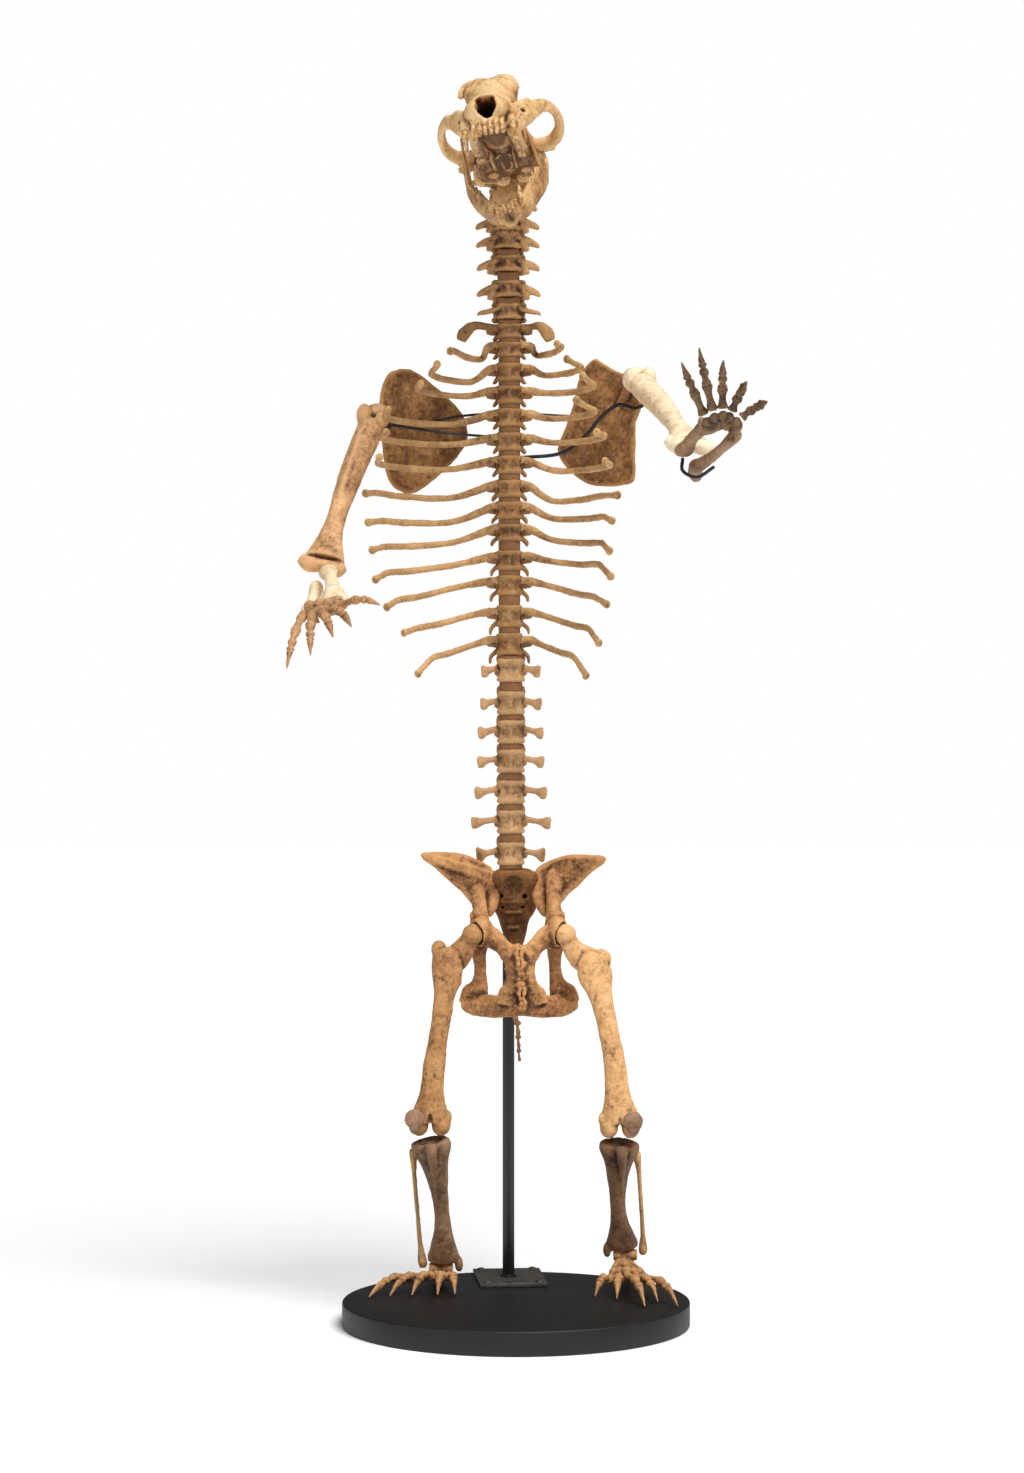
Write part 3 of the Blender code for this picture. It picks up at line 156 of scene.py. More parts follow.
# Sprayed matt lacquer: black, with a fine orange-peel grain of about 1.5 mm and faint greyer scuffs
matt_lacquer, tree, shader = plain_finish("matt_black_lacquer", "18181A", 0.5)
where = add_node(tree, "ShaderNodeTexCoord")
scuffs = add_node(tree, "ShaderNodeTexNoise", {"Scale": 1 / 0.11, "Detail": 5.0, "Roughness": 0.65},
                  {"Vector": (where, "Object")})
tone = add_node(tree, "ShaderNodeValToRGB", {}, {"Fac": (scuffs, "Fac")})
tone.color_ramp.elements[0].position = 0.4
tone.color_ramp.elements[0].color = linear("060607")
tone.color_ramp.elements[1].position = 0.72
tone.color_ramp.elements[1].color = linear("101011")
tree.links.new(tone.outputs["Color"], shader.inputs["Base Color"])
sheen = add_node(tree, "ShaderNodeMapRange", {"To Min": 0.42, "To Max": 0.62}, {"Value": (scuffs, "Fac")})
tree.links.new(sheen.outputs["Result"], shader.inputs["Roughness"])
peel = add_node(tree, "ShaderNodeTexNoise", {"Scale": 1 / 0.0015, "Detail": 2.0},
                {"Vector": (where, "Object")})
peel_bump = add_node(tree, "ShaderNodeBump", {"Strength": 0.15, "Distance": 0.0003},
                     {"Height": (peel, "Fac")})
tree.links.new(peel_bump.outputs["Normal"], shader.inputs["Normal"])

bpy.ops.object.select_all(action="DESELECT")
bpy.ops.mesh.primitive_cylinder_add(vertices=160, radius=BASE_RADIUS, depth=BASE_HEIGHT,
                                    location=(0, 0, BASE_HEIGHT / 2))
eased(bpy.context.object, RIM)
own_piece("display_base", ["stand_base"], matt_lacquer)

# ---------------------------------------------------------------- foot plate and bolts
# A rolled steel plate 8 mm thick, blackened, under four domed bolts that go down into the base. The welded
# post stands in its middle.

PLATE_SIZE = (0.147, 0.205, 0.008)
PLATE_CENTRE = (-0.0126, 0.255)
PLATE_TURN = math.radians(5)
PAINT_GAP = 0.0006
PLATE_FLOOR = BASE_HEIGHT + PAINT_GAP
BOLT_INSET = 0.017
BOLT_RADIUS = 0.0095
BOLT_FLATTEN = 0.55
BOLT_SINK = 0.001
BOLT_ANGLE = math.radians(40)
PLATE_EASE = 0.0012

# Blackened mild steel: dark warm grey with a cloudy scale pattern some 20 mm wide
black_steel, tree, shader = plain_finish("blackened_steel", "4B4744", 0.5)
shader.inputs["Metallic"].default_value = 0.35
where = add_node(tree, "ShaderNodeTexCoord")
clouds = add_node(tree, "ShaderNodeTexNoise", {"Scale": 1 / 0.02, "Detail": 6.0, "Roughness": 0.7},
                  {"Vector": (where, "Object")})
tone = add_node(tree, "ShaderNodeValToRGB", {}, {"Fac": (clouds, "Fac")})
tone.color_ramp.elements[0].position = 0.35
tone.color_ramp.elements[0].color = linear("35312F")
tone.color_ramp.elements[1].position = 0.7
tone.color_ramp.elements[1].color = linear("615B56")
tree.links.new(tone.outputs["Color"], shader.inputs["Base Color"])
scale_bump = add_node(tree, "ShaderNodeBump", {"Strength": 0.3, "Distance": 0.0004},
                      {"Height": (clouds, "Fac")})
tree.links.new(scale_bump.outputs["Normal"], shader.inputs["Normal"])

bpy.ops.object.select_all(action="DESELECT")
bpy.ops.mesh.primitive_cube_add(size=1, location=(*PLATE_CENTRE, PLATE_FLOOR + PLATE_SIZE[2] / 2),
                                rotation=(0, 0, PLATE_TURN))
bpy.context.object.scale = PLATE_SIZE
bpy.ops.object.transform_apply(location=True, rotation=True, scale=True)
eased(bpy.context.object, PLATE_EASE)
plate = bpy.context.object
heads = []
for across in (-1, 1):
    for deep in (-1, 1):
        corner = Matrix.Rotation(PLATE_TURN, 3,
                                 "Z") @ Vector((across * (PLATE_SIZE[0] / 2 - BOLT_INSET),
                                                deep * (PLATE_SIZE[1] / 2 - BOLT_INSET), 0))
        spot = (PLATE_CENTRE[0] + corner.x, PLATE_CENTRE[1] + corner.y, PLATE_FLOOR + PLATE_SIZE[2])
        bpy.ops.object.select_all(action="DESELECT")
        bpy.ops.mesh.primitive_uv_sphere_add(segments=24, ring_count=12, radius=BOLT_RADIUS, location=spot)
        bpy.context.object.scale = (1, 1, BOLT_FLATTEN)
        bpy.ops.object.transform_apply(location=True, rotation=True, scale=True)
        bpy.ops.object.mode_set(mode="EDIT")
        bpy.ops.mesh.select_all(action="SELECT")
        bpy.ops.mesh.bisect(plane_co=(0, 0, spot[2] - BOLT_SINK), plane_no=(0, 0, 1), clear_inner=True,
                            use_fill=True)
        bpy.ops.object.mode_set(mode="OBJECT")
        bpy.ops.object.shade_smooth_by_angle(angle=BOLT_ANGLE)
        heads.append(bpy.context.object)
bpy.ops.object.select_all(action="DESELECT")
for thing in (*heads, plate):
    thing.select_set(True)
bpy.context.view_layer.objects.active = plate
bpy.ops.object.join()
own_piece("foot_plate", ["stand_plate"], black_steel)

# ---------------------------------------------------------------- post
# A square steel tube 19 mm wide, set with an edge to the front and painted black, rises behind the spine's
# line to the pelvis. A weld bead runs round its foot, and a short arm at its top holds the sacrum.

POST_SIDE = 0.019
POST_PLACE = (-0.016, 0.245)
POST_TOP = 0.93
POST_FOOT = PLATE_FLOOR + PLATE_SIZE[2] + PAINT_GAP
WELD = 0.006
POST_EASE = 0.0015
WELD_EASE = 0.0012
ARM_SIZE = (0.016, 0.0335, 0.024)
ARM_CENTRE = (-0.014, 0.2158, 0.905)
ARM_EASE = 0.002

# Satin enamel over steel: near black, smoother than the base, with a faint brushed unevenness
satin_enamel, tree, shader = plain_finish("satin_black_enamel", "151416", 0.36)
where = add_node(tree, "ShaderNodeTexCoord")
runs = add_node(tree, "ShaderNodeTexNoise", {"Scale": 1 / 0.012, "Detail": 3.0},
                {"Vector": (where, "Object")})
runs_bump = add_node(tree, "ShaderNodeBump", {"Strength": 0.12, "Distance": 0.0004},
                     {"Height": (runs, "Fac")})
tree.links.new(runs_bump.outputs["Normal"], shader.inputs["Normal"])

bpy.ops.object.select_all(action="DESELECT")
bpy.ops.mesh.primitive_cube_add(size=1, location=(*POST_PLACE, (POST_FOOT + POST_TOP) / 2),
                                rotation=(0, 0, math.pi / 4))
post = bpy.context.object
post.scale = (POST_SIDE, POST_SIDE, POST_TOP - POST_FOOT)
bpy.ops.object.transform_apply(location=True, rotation=True, scale=True)
eased(post, POST_EASE)
bpy.ops.mesh.primitive_cone_add(vertices=4, radius1=POST_SIDE * 0.72 + WELD, radius2=POST_SIDE * 0.7,
                                depth=WELD, location=(*POST_PLACE, POST_FOOT + WELD / 2))
weld = bpy.context.object
eased(weld, WELD_EASE)
bpy.ops.object.select_all(action="DESELECT")
weld.select_set(True)
post.select_set(True)
bpy.context.view_layer.objects.active = post
bpy.ops.object.join()
own_piece("post", ["stand_post"], satin_enamel)

bpy.ops.object.select_all(action="DESELECT")
bpy.ops.mesh.primitive_cube_add(size=1, location=ARM_CENTRE)
bpy.context.object.scale = ARM_SIZE
bpy.ops.object.transform_apply(location=True, rotation=True, scale=True)
eased(bpy.context.object, ARM_EASE)
own_piece("post_arm", ["stand_post_arm"], satin_enamel)

# ---------------------------------------------------------------- skull
# The skull is 450 mm long, with the broad flat forehead and steep brow of all large cave bears. The fossil
# is a natural bone, washed, hardened with resin and left its own pale tan, with darker silt in the hollows;
# painted shade darkens the hollows further, deep in the nose, under the palate and over the skull base.

SKULL_BASE = (-0.004, 0.07, 2.4075)
SKULL_TURN = (math.radians(-5.5), math.radians(-9), math.radians(-6.3))
SKULL_GRAIN = 0.0021


def smooth_rows(rows, steps):
    """Catmull-Rom values between rows of numbers."""
    rows = np.array(rows, dtype=float)
    ends = np.vstack([2 * rows[0] - rows[1], rows, 2 * rows[-1] - rows[-2]])
    result = []
    for i in range(1, len(ends) - 2):
        for t in np.arange(steps) / steps:
            a, b, c, d = ends[i - 1], ends[i], ends[i + 1], ends[i + 2]
            curve = 2 * b + (c - a) * t + (2 * a - 5 * b + 4 * c - d) * t**2 + (3 * b - a - 3 * c + d) * t**3
            result.append(curve / 2)
    result.append(rows[-1])
    return result


def loft(clay, rows, wide=(1, 0, 0), sides=14, steps=5, origin=(0, 0, 0), s=1):
    """Closed loft; each row is x, y, z, half width along the wide direction, half depth across it.

    The rows count from the origin, and s = -1 mirrors them from side to side.
    """
    rows = [(origin[0] + s * x, origin[1] + y, origin[2] + z, *half) for x, y, z, *half in rows]
    rows = smooth_rows(rows, steps)
    rings = []
    for i, row in enumerate(rows):
        course = Vector(rows[min(i + 1, len(rows) - 1)][:3]) - Vector(rows[max(i - 1, 0)][:3])
        across = course.cross(Vector(wide)).normalized()
        side = across.cross(course).normalized()
        ring = []
        for k in range(sides):
            angle = 2 * math.pi * k / sides
            offset = side * (row[3] * math.cos(angle)) + across * (row[4] * math.sin(angle))
            ring.append(clay.verts.new(Vector(row[:3]) + offset))
        rings.append(ring)
    for ring, following in zip(rings, rings[1:]):
        for k in range(sides):
            clay.faces.new((ring[k], ring[(k + 1) % sides], following[(k + 1) % sides], following[k]))
    clay.faces.new(rings[0])
    clay.faces.new(rings[-1])


def ball(clay, centre, half, turn=(0, 0, 0)):
    """Ellipsoid with three half sizes."""
    place = Matrix.Translation(centre) @ Euler(turn).to_matrix().to_4x4() @ Matrix.Diagonal((*half, 1))
    bmesh.ops.create_icosphere(clay, subdivisions=3, radius=1.0, matrix=place)


def between(start, end, t, offset=(0, 0, 0)):
    """The point a share t of the way from start to end, moved by offset."""
    return Vector(start).lerp(Vector(end), t) + Vector(offset)


def read_points(mesh):
    """The vertex places as an array."""
    at = np.empty(len(mesh.vertices) * 3, np.float32)
    mesh.vertices.foreach_get("co", at)
    return at.reshape(-1, 3).astype(float)


def write_points(mesh, at):
    mesh.vertices.foreach_set("co", at.astype(np.float32).ravel())
    mesh.update()


def read_normals(mesh):
    normal = np.empty(len(mesh.vertices) * 3, np.float32)
    mesh.vertex_normals.foreach_get("vector", normal)
    return normal.reshape(-1, 3).astype(float)


def neighbour_mean(mesh):
    """A function that averages values over each vertex's neighbours."""
    ends = np.empty(len(mesh.edges) * 2, np.int32)
    mesh.edges.foreach_get("vertices", ends)
    a, b = ends[0::2], ends[1::2]
    size = len(mesh.vertices)
    count = np.maximum(np.bincount(a, minlength=size) + np.bincount(b, minlength=size), 1)

    def mean(values):
        total = np.empty_like(values)
        for k in range(values.shape[1]):
            column = values[:, k]
            total[:, k] = np.bincount(a, column[b], size) + np.bincount(b, column[a], size)
        return total / count[:, None]

    return mean


def press(at, centre, half, push):
    """Move the points inside an ellipsoid along push to its far side."""
    half = np.array(half)
    push = np.array(Vector(push).normalized())
    local = (at - np.array(centre)) / half
    inside = (local**2).sum(1) < 1
    step = push / half
    a = (step**2).sum()
    b = local[inside] @ step
    c = (local[inside] ** 2).sum(1) - 1
    at[inside] += push * ((-b + np.sqrt(b * b - a * c)) / a)[:, None]


def new_piece(name, clay):
    """The clay as an object of its own, selected and active, with its faces pointing outwards."""
    bmesh.ops.recalc_face_normals(clay, faces=clay.faces)
    mesh = bpy.data.meshes.new(name)
    clay.to_mesh(mesh)
    clay.free()
    piece = bpy.data.objects.new(name, mesh)
    bpy.context.scene.collection.objects.link(piece)
    bpy.ops.object.select_all(action="DESELECT")
    bpy.context.view_layer.objects.active = piece
    piece.select_set(True)
    return piece


# Bone surface: how fast creases fill, and the size and height of each relief noise
FILL_PULL = 0.22
FILL_PUSH = 0.7
RELIEF = ((0.03, 0.003), (0.008, 0.001))
RELIEF_DETAIL = 3
# Silt and painted shade: the depth of a hollow that counts in full, near and wide, and what each adds;
# downward faces get painted shade and upward ones a faint painted highlight
SILT_SHADE_NEAR = 0.00022
SILT_SHADE_WIDE = 0.0016
WIDE_ROUNDS = 24
SILT_SHADE_LIMIT = 1.5
NEAR_SHARE = 0.16
WIDE_SHARE = 0.22
UNDERSIDE_SHADE_SHARE = 0.1


def bone(name, clay, grain, nodes, look, hollows=(), fillet=6, relief=RELIEF, place=None, silted=()):
    """One natural bone surface fused from the overlapping shapes in clay, with its hollows pressed in.

    Creases are filled as real bone fills them, relief is grown as noise of two sizes, and a point attribute
    says how deep each point lies in a hollow or under the bone: the material darkens the hollows with silt
    and painted shade, and the undersides with painted shade. Each darkening ellipsoid (centre, half sizes,
    amount) makes the bone darker there, for silt that was never washed out and for painted shade in
    recesses.
    """
    piece = new_piece(name, clay)
    for turn in range(2 if hollows else 1):
        skin = piece.modifiers.new("Fuse", "REMESH")
        skin.mode = "VOXEL"
        skin.voxel_size = grain
        bpy.ops.object.modifier_apply(modifier=skin.name)
        if hollows and turn == 0:
            at = read_points(piece.data)
            for centre, half, push in hollows:
                press(at, centre, half, push)
            write_points(piece.data, at)
    mesh = piece.data
    mean = neighbour_mean(mesh)
    at = read_points(mesh)
    for _ in range(fillet):
        normal = read_normals(mesh)
        pull = mean(at) - at
        out = np.maximum((pull * normal).sum(1), 0)
        at += pull * FILL_PULL + normal * out[:, None] * FILL_PUSH
        write_points(mesh, at)
    for size, height in relief:
        cloud = bpy.data.textures.new("relief", "CLOUDS")
        cloud.noise_scale = size
        cloud.noise_depth = RELIEF_DETAIL
        lift = piece.modifiers.new("Relief", "DISPLACE")
        lift.texture = cloud
        lift.texture_coords = "LOCAL"
        lift.strength = height
        lift.mid_level = 0.5
        bpy.ops.object.modifier_apply(modifier=lift.name)
    mesh = piece.data
    at = read_points(mesh)
    extra = np.zeros(len(at))
    for centre, half, amount in silted:
        reach = 1 - (((at - np.array(centre)) / np.array(half)) ** 2).sum(1)
        extra = np.maximum(extra, amount * np.clip(reach * 3, 0, 1))
    if place is not None:
        turn, shift = place
        at = at @ np.array(turn).T + np.array(shift)
        write_points(mesh, at)
    normal = read_normals(mesh)
    soft = mean(mean(at))
    near = np.clip(((soft - at) * normal).sum(1) / SILT_SHADE_NEAR, -SILT_SHADE_LIMIT, SILT_SHADE_LIMIT)
    for _ in range(WIDE_ROUNDS):
        soft = mean(soft)
    wide = np.clip(((soft - at) * normal).sum(1) / SILT_SHADE_WIDE, -SILT_SHADE_LIMIT, SILT_SHADE_LIMIT)
    # Hollows darker, partly silt and partly painted shade in the creases; downward faces darker as painted
    # shade, upward ones a little paler as a painted highlight
    stain = 0.5 + NEAR_SHARE * near + WIDE_SHARE * wide - UNDERSIDE_SHADE_SHARE * normal[:, 2]
    mark = mesh.attributes.new("stain", "FLOAT", "POINT")
    mark.data.foreach_set("value", np.clip(stain + extra, 0, 1).astype(np.float32))
    mesh.shade_smooth()
    own_piece(name, nodes, look)


def fossil_finish(name, light, middle, dark, silt, patches, cracks):
    """Fossil bone: patchy over 60 mm and 12 mm, with hollows darkened by silt and painted shade, painted
    shade on the undersides, hairline cracks and 1.5 mm pores.
    """
    look, tree, shader = plain_finish(name, middle, 0.6)
    shader.inputs["Specular IOR Level"].default_value = 0.25
    where = add_node(tree, "ShaderNodeTexCoord")
    broad = add_node(tree, "ShaderNodeTexNoise", {"Scale": 1 / 0.06, "Detail": 3.0},
                     {"Vector": (where, "Object")})
    blotch = add_node(tree, "ShaderNodeTexNoise",
                      {"Scale": 1 / 0.012, "Detail": 7.0, "Roughness": 0.62, "Distortion": 0.4},
                      {"Vector": (where, "Object")})
    pores = add_node(tree, "ShaderNodeTexNoise", {"Scale": 1 / 0.0015, "Detail": 3.0, "Roughness": 0.6},
                     {"Vector": (where, "Object")})
    blend = add_node(tree, "ShaderNodeMix", {"data_type": "FLOAT", 0: 0.5},
                     {2: (broad, "Fac"), 3: (blotch, "Fac")})
    tone = add_node(tree, "ShaderNodeValToRGB", {}, {"Fac": (blend, 0)})
    ramp = tone.color_ramp
    ramp.elements[0].position = 0.36
    ramp.elements[0].color = linear(dark)
    ramp.elements[1].position = 0.62
    ramp.elements[1].color = linear(light)
    ramp.elements.new(0.48).color = linear(middle)

    # Dark manganese patches, where a third noise is high
    shifted = add_node(tree, "ShaderNodeMapping", {"Location": (3.1, 1.7, 0.4)},
                       {"Vector": (where, "Object")})
    spots = add_node(tree, "ShaderNodeTexNoise",
                     {"Scale": 1 / 0.028, "Detail": 8.0, "Roughness": 0.7, "Distortion": 0.8},
                     {"Vector": (shifted, "Vector")})
    patch = add_node(tree, "ShaderNodeMapRange",
                     {"From Min": 0.56, "From Max": 0.66, "To Min": 0.0, "To Max": patches},
                     {"Value": (spots, "Fac")})
    patched = add_node(tree, "ShaderNodeMix", {"data_type": "RGBA", 7: linear(silt)},
                       {0: (patch, "Result"), 6: (tone, "Color")})

    # Hairline cracks: the edges of warped cells 40 mm wide, where the broad noise lets them show
    warp = add_node(tree, "ShaderNodeVectorMath", {"operation": "SCALE", "Scale": 0.02},
                    {0: (blotch, "Color")})
    bent = add_node(tree, "ShaderNodeVectorMath", {"operation": "ADD"},
                    {0: (where, "Object"), 1: (warp, "Vector")})
    cells = add_node(tree, "ShaderNodeTexVoronoi", {"feature": "DISTANCE_TO_EDGE", "Scale": 1 / 0.04},
                     {"Vector": (bent, "Vector")})
    line = add_node(tree, "ShaderNodeMapRange",
                    {"From Min": 0.0, "From Max": 0.03, "To Min": 1.0, "To Max": 0.0},
                    {"Value": (cells, "Distance")})
    show = add_node(tree, "ShaderNodeMapRange",
                    {"From Min": 0.5, "From Max": 0.62, "To Min": 0.0, "To Max": cracks},
                    {"Value": (spots, "Fac")})
    crack = add_node(tree, "ShaderNodeMath", {"operation": "MULTIPLY"},
                     {0: (line, "Result"), 1: (show, "Result")})
    cracked = add_node(tree, "ShaderNodeMix", {"data_type": "RGBA", 7: linear(silt)},
                       {0: (crack, "Value"), 6: (patched, 2)})

    # Silt and painted shade in the hollows, painted shade on the undersides, and a paler tone on the ridges,
    # as rubbed bone has, with a faint painted highlight on upward faces
    hollow = add_node(tree, "ShaderNodeAttribute", {"attribute_name": "stain"})
    deep = add_node(tree, "ShaderNodeMapRange",
                    {"From Min": 0.51, "From Max": 0.88, "To Min": 0.0, "To Max": 0.9},
                    {"Value": (hollow, "Fac")})
    silted = add_node(tree, "ShaderNodeMix", {"data_type": "RGBA", 7: linear(silt)},
                      {0: (deep, "Result"), 6: (cracked, 2)})
    rubbed_and_lit = add_node(tree, "ShaderNodeMapRange",
                      {"From Min": 0.44, "From Max": 0.12, "To Min": 0.0, "To Max": 0.55},
                      {"Value": (hollow, "Fac")})
    worn_and_lit = add_node(tree, "ShaderNodeMix", {"data_type": "RGBA", 7: linear(light)},
                    {0: (rubbed_and_lit, "Result"), 6: (silted, 2)})
    fine = add_node(tree, "ShaderNodeMapRange",
                    {"From Min": 0.3, "From Max": 0.7, "To Min": 0.8, "To Max": 1.16},
                    {"Value": (pores, "Fac")})
    speckled = add_node(tree, "ShaderNodeVectorMath", {"operation": "SCALE"},
                        {0: (worn_and_lit, 2), "Scale": (fine, "Result")})
    tree.links.new(speckled.outputs["Vector"], shader.inputs["Base Color"])

    gloss = add_node(tree, "ShaderNodeMapRange", {"To Min": 0.48, "To Max": 0.72},
                     {"Value": (blotch, "Fac")})
    tree.links.new(gloss.outputs["Result"], shader.inputs["Roughness"])
    height = add_node(tree, "ShaderNodeMath", {"operation": "MULTIPLY_ADD", 1: 0.35},
                      {0: (pores, "Fac"), 2: (blotch, "Fac")})
    grooved = add_node(tree, "ShaderNodeMath", {"operation": "SUBTRACT"},
                       {0: (height, "Value"), 1: (crack, "Value")})
    bump = add_node(tree, "ShaderNodeBump", {"Strength": 0.7, "Distance": 0.0012},
                    {"Height": (grooved, "Value")})
    tree.links.new(bump.outputs["Normal"], shader.inputs["Normal"])
    return look


def head_place():
    """Turn and shift from the skull's own axes to its place on the neck, chin up and a little tilted."""
    turn = Euler((0, SKULL_TURN[1], SKULL_TURN[2])).to_matrix() @ Euler((SKULL_TURN[0], 0, 0)).to_matrix()
    return turn, Vector(SKULL_BASE)


tan_bone = fossil_finish("tan_skull_bone", "F0CC98", "D9A970", "A87646", "4C2E18", 0.3, 0.8)

clay = bmesh.new()
# Brain case, forehead and muzzle in one loft from the back of the head to the nose
loft(clay, ((0, 0.004, 0.048, 0.044, 0.03), (0, -0.02, 0.056, 0.07, 0.046), (0, -0.06, 0.064, 0.058, 0.056),
            (0, -0.12, 0.076, 0.05, 0.06), (0, -0.17, 0.088, 0.046, 0.068), (0, -0.205, 0.092, 0.051, 0.072),
            (0, -0.24, 0.084, 0.053, 0.07), (0, -0.275, 0.071, 0.05, 0.06), (0, -0.315, 0.058, 0.046, 0.05),
            (0, -0.355, 0.048, 0.046, 0.041), (0, -0.39, 0.042, 0.047, 0.035),
            (0, -0.415, 0.038, 0.043, 0.031), (0, -0.43, 0.033, 0.034, 0.022)), sides=28)
# Sagittal crest, and the nasal bones' tip over the nose
loft(clay, ((0, 0.014, 0.088, 0.005, 0.026), (0, -0.06, 0.108, 0.005, 0.032),
            (0, -0.15, 0.132, 0.007, 0.026)))
loft(clay, ((-0.046, -0.214, 0.15, 0.018, 0.013), (0, -0.212, 0.153, 0.022, 0.014),
            (0.04, -0.214, 0.151, 0.018, 0.013)), wide=(0, 1, 0))
for s in (-1, 1):
    # Frontal block with its flat top, brow process turned down at the tip, and the pillar under it
    brow = 0.066 if s < 0 else 0.055
    ball(clay, (s * 0.022, -0.212, 0.132), (0.031, 0.046, 0.038))
    ball(clay, (s * 0.034, -0.214, 0.147), (0.021, 0.034, 0.021))
    ball(clay, (s * 0.027, -0.238, 0.108), (0.0245, 0.04, 0.046))
    ball(clay, (s * 0.038, -0.232, 0.128), (0.018, 0.032, 0.022))
    loft(clay, ((0.028, -0.214, 0.152, 0.02, 0.014), (brow - 0.017, -0.219, 0.151, 0.014, 0.0125),
                (brow - 0.006, -0.224, 0.144, 0.009, 0.0085), (brow, -0.228, 0.131, 0.005, 0.006)),
         wide=(0, 1, 0), s=s)
    loft(clay, ((0.02, -0.3, 0.088, 0.01, 0.012), (0.014, -0.36, 0.07, 0.009, 0.01),
                (0.009, -0.412, 0.063, 0.008, 0.005)), s=s)
    # Cheek root and zygomatic arch, up over the eye's lower rim, out, and down to the jaw joint
    loft(clay, ((0.04, -0.312, 0.042, 0.028, 0.014), (0.062, -0.282, 0.06, 0.028, 0.013),
                (0.082, -0.25, 0.079, 0.023, 0.009), (0.098, -0.218, 0.09, 0.0165, 0.007),
                (0.114, -0.182, 0.092, 0.0125, 0.007), (0.1235, -0.15, 0.08, 0.013, 0.009),
                (0.1205, -0.124, 0.063, 0.0145, 0.01), (0.105, -0.101, 0.05, 0.015, 0.013),
                (0.078, -0.088, 0.046, 0.015, 0.02), (0.046, -0.08, 0.048, 0.018, 0.02)), wide=(0, 0, 1),
         sides=18, s=s)
    loft(clay, ((0.09, -0.238, 0.088, 0.012, 0.006), (0.087, -0.237, 0.104, 0.006, 0.004),
                (0.084, -0.236, 0.112, 0.003, 0.003)), wide=(0, 1, 0), s=s)
    # Jaw joint bar, skull base with the mastoid, ear capsule, neck joint and the wing behind the palate
    loft(clay, ((0.05, -0.082, 0.038, 0.01, 0.009), (0.104, -0.084, 0.04, 0.01, 0.008)), wide=(0, 1, 0), s=s)
    loft(clay, ((0.026, -0.16, 0.028, 0.024, 0.016), (0.034, -0.1, 0.028, 0.03, 0.017),
                (0.038, -0.055, 0.024, 0.032, 0.02), (0.038, -0.018, 0.02, 0.03, 0.02)), s=s)
    ball(clay, (s * 0.068, -0.024, 0.024), (0.013, 0.018, 0.026))
    ball(clay, (s * 0.036, -0.062, 0.008), (0.013, 0.018, 0.007))
    ball(clay, (s * 0.022, 0.004, 0.014), (0.016, 0.018, 0.014))
    loft(clay, ((0.024, -0.19, 0.012, 0.003, 0.014), (0.022, -0.14, 0.006, 0.003, 0.014),
                (0.022, -0.115, 0.004, 0.002, 0.006)), s=s)
    # Upper jaw bone over the cheek teeth, and the swelling over the canine root
    loft(clay, ((0.038, -0.175, 0.02, 0.011, 0.016), (0.042, -0.25, 0.014, 0.013, 0.018),
                (0.039, -0.345, 0.014, 0.01, 0.014)), s=s)
    loft(clay, ((0.036, -0.325, 0.062, 0.009, 0.013), (0.044, -0.372, 0.044, 0.011, 0.016),
                (0.0475, -0.398, 0.02, 0.01, 0.012), (0.048, -0.402, 0.008, 0.0085, 0.0105)), s=s)
    for k in range(3):
        # Sockets of the incisors
        loft(clay, ((0.0058 + 0.0116 * k, -0.416 + 0.004 * k, 0.022, 0.0054, 0.01),
                    (0.0058 + 0.0116 * k, -0.425 + 0.004 * k, 0.01, 0.0052, 0.0066)), steps=3, s=s)
hollows = [((0.002, -0.452, 0.045), (0.0215, 0.23, 0.0215), (0, 1, 0)),
           ((0.012, -0.44, 0.059), (0.01, 0.08, 0.009), (0, 1, 0)),
           ((-0.009, -0.44, 0.058), (0.01, 0.08, 0.01), (0, 1, 0)),
           ((0.003, -0.44, 0.026), (0.011, 0.06, 0.0065), (0, 1, 0)),
           ((0, -0.3, -0.018), (0.025, 0.12, 0.024), (0, 0, 1)),
           ((0, -0.14, -0.004), (0.019, 0.075, 0.026), (0, 0, 1))]
for s in (-1, 1):
    hollows += [((s * 0.08, -0.246, 0.11), (0.031, 0.034, 0.019), (-s, 0.3, 0)),
                ((s * 0.067, -0.296, 0.062), (0.014, 0.009, 0.0045), (-s, 0.6, 0)),
                ((s * 0.017, -0.372, -0.002), (0.0045, 0.01, 0.014), (0, 0, 1)),
                ((s * 0.02, -0.27, 0.0), (0.004, 0.006, 0.014), (0, 0, 1)),
                ((s * 0.075, -0.14, 0.092), (0.03, 0.065, 0.042), (-s, 0, 0))]
# Darker places: painted shade deep in the nose opening, under the palate and over the skull base, and a
# darker patch round the canine socket
SKULL_DARKENING = (((0.002, -0.33, 0.045), (0.0245, 0.112, 0.0245), 0.9),
              ((0, -0.27, -0.008), (0.06, 0.175, 0.03), 0.42),
              ((0, -0.11, 0.004), (0.085, 0.12, 0.04), 0.26),
              ((0.046, -0.392, 0.02), (0.016, 0.02, 0.018), 0.4))
bone("skull", clay, SKULL_GRAIN, ["skull"], tan_bone, hollows, fillet=4, place=head_place(),
     silted=SKULL_DARKENING)

# ---------------------------------------------------------------- upper teeth
# Six incisors, two canines and three broad cheek teeth a side, all the bear's own. Fossil enamel is
# smoother than bone, yellow to cream, and browner toward the root.

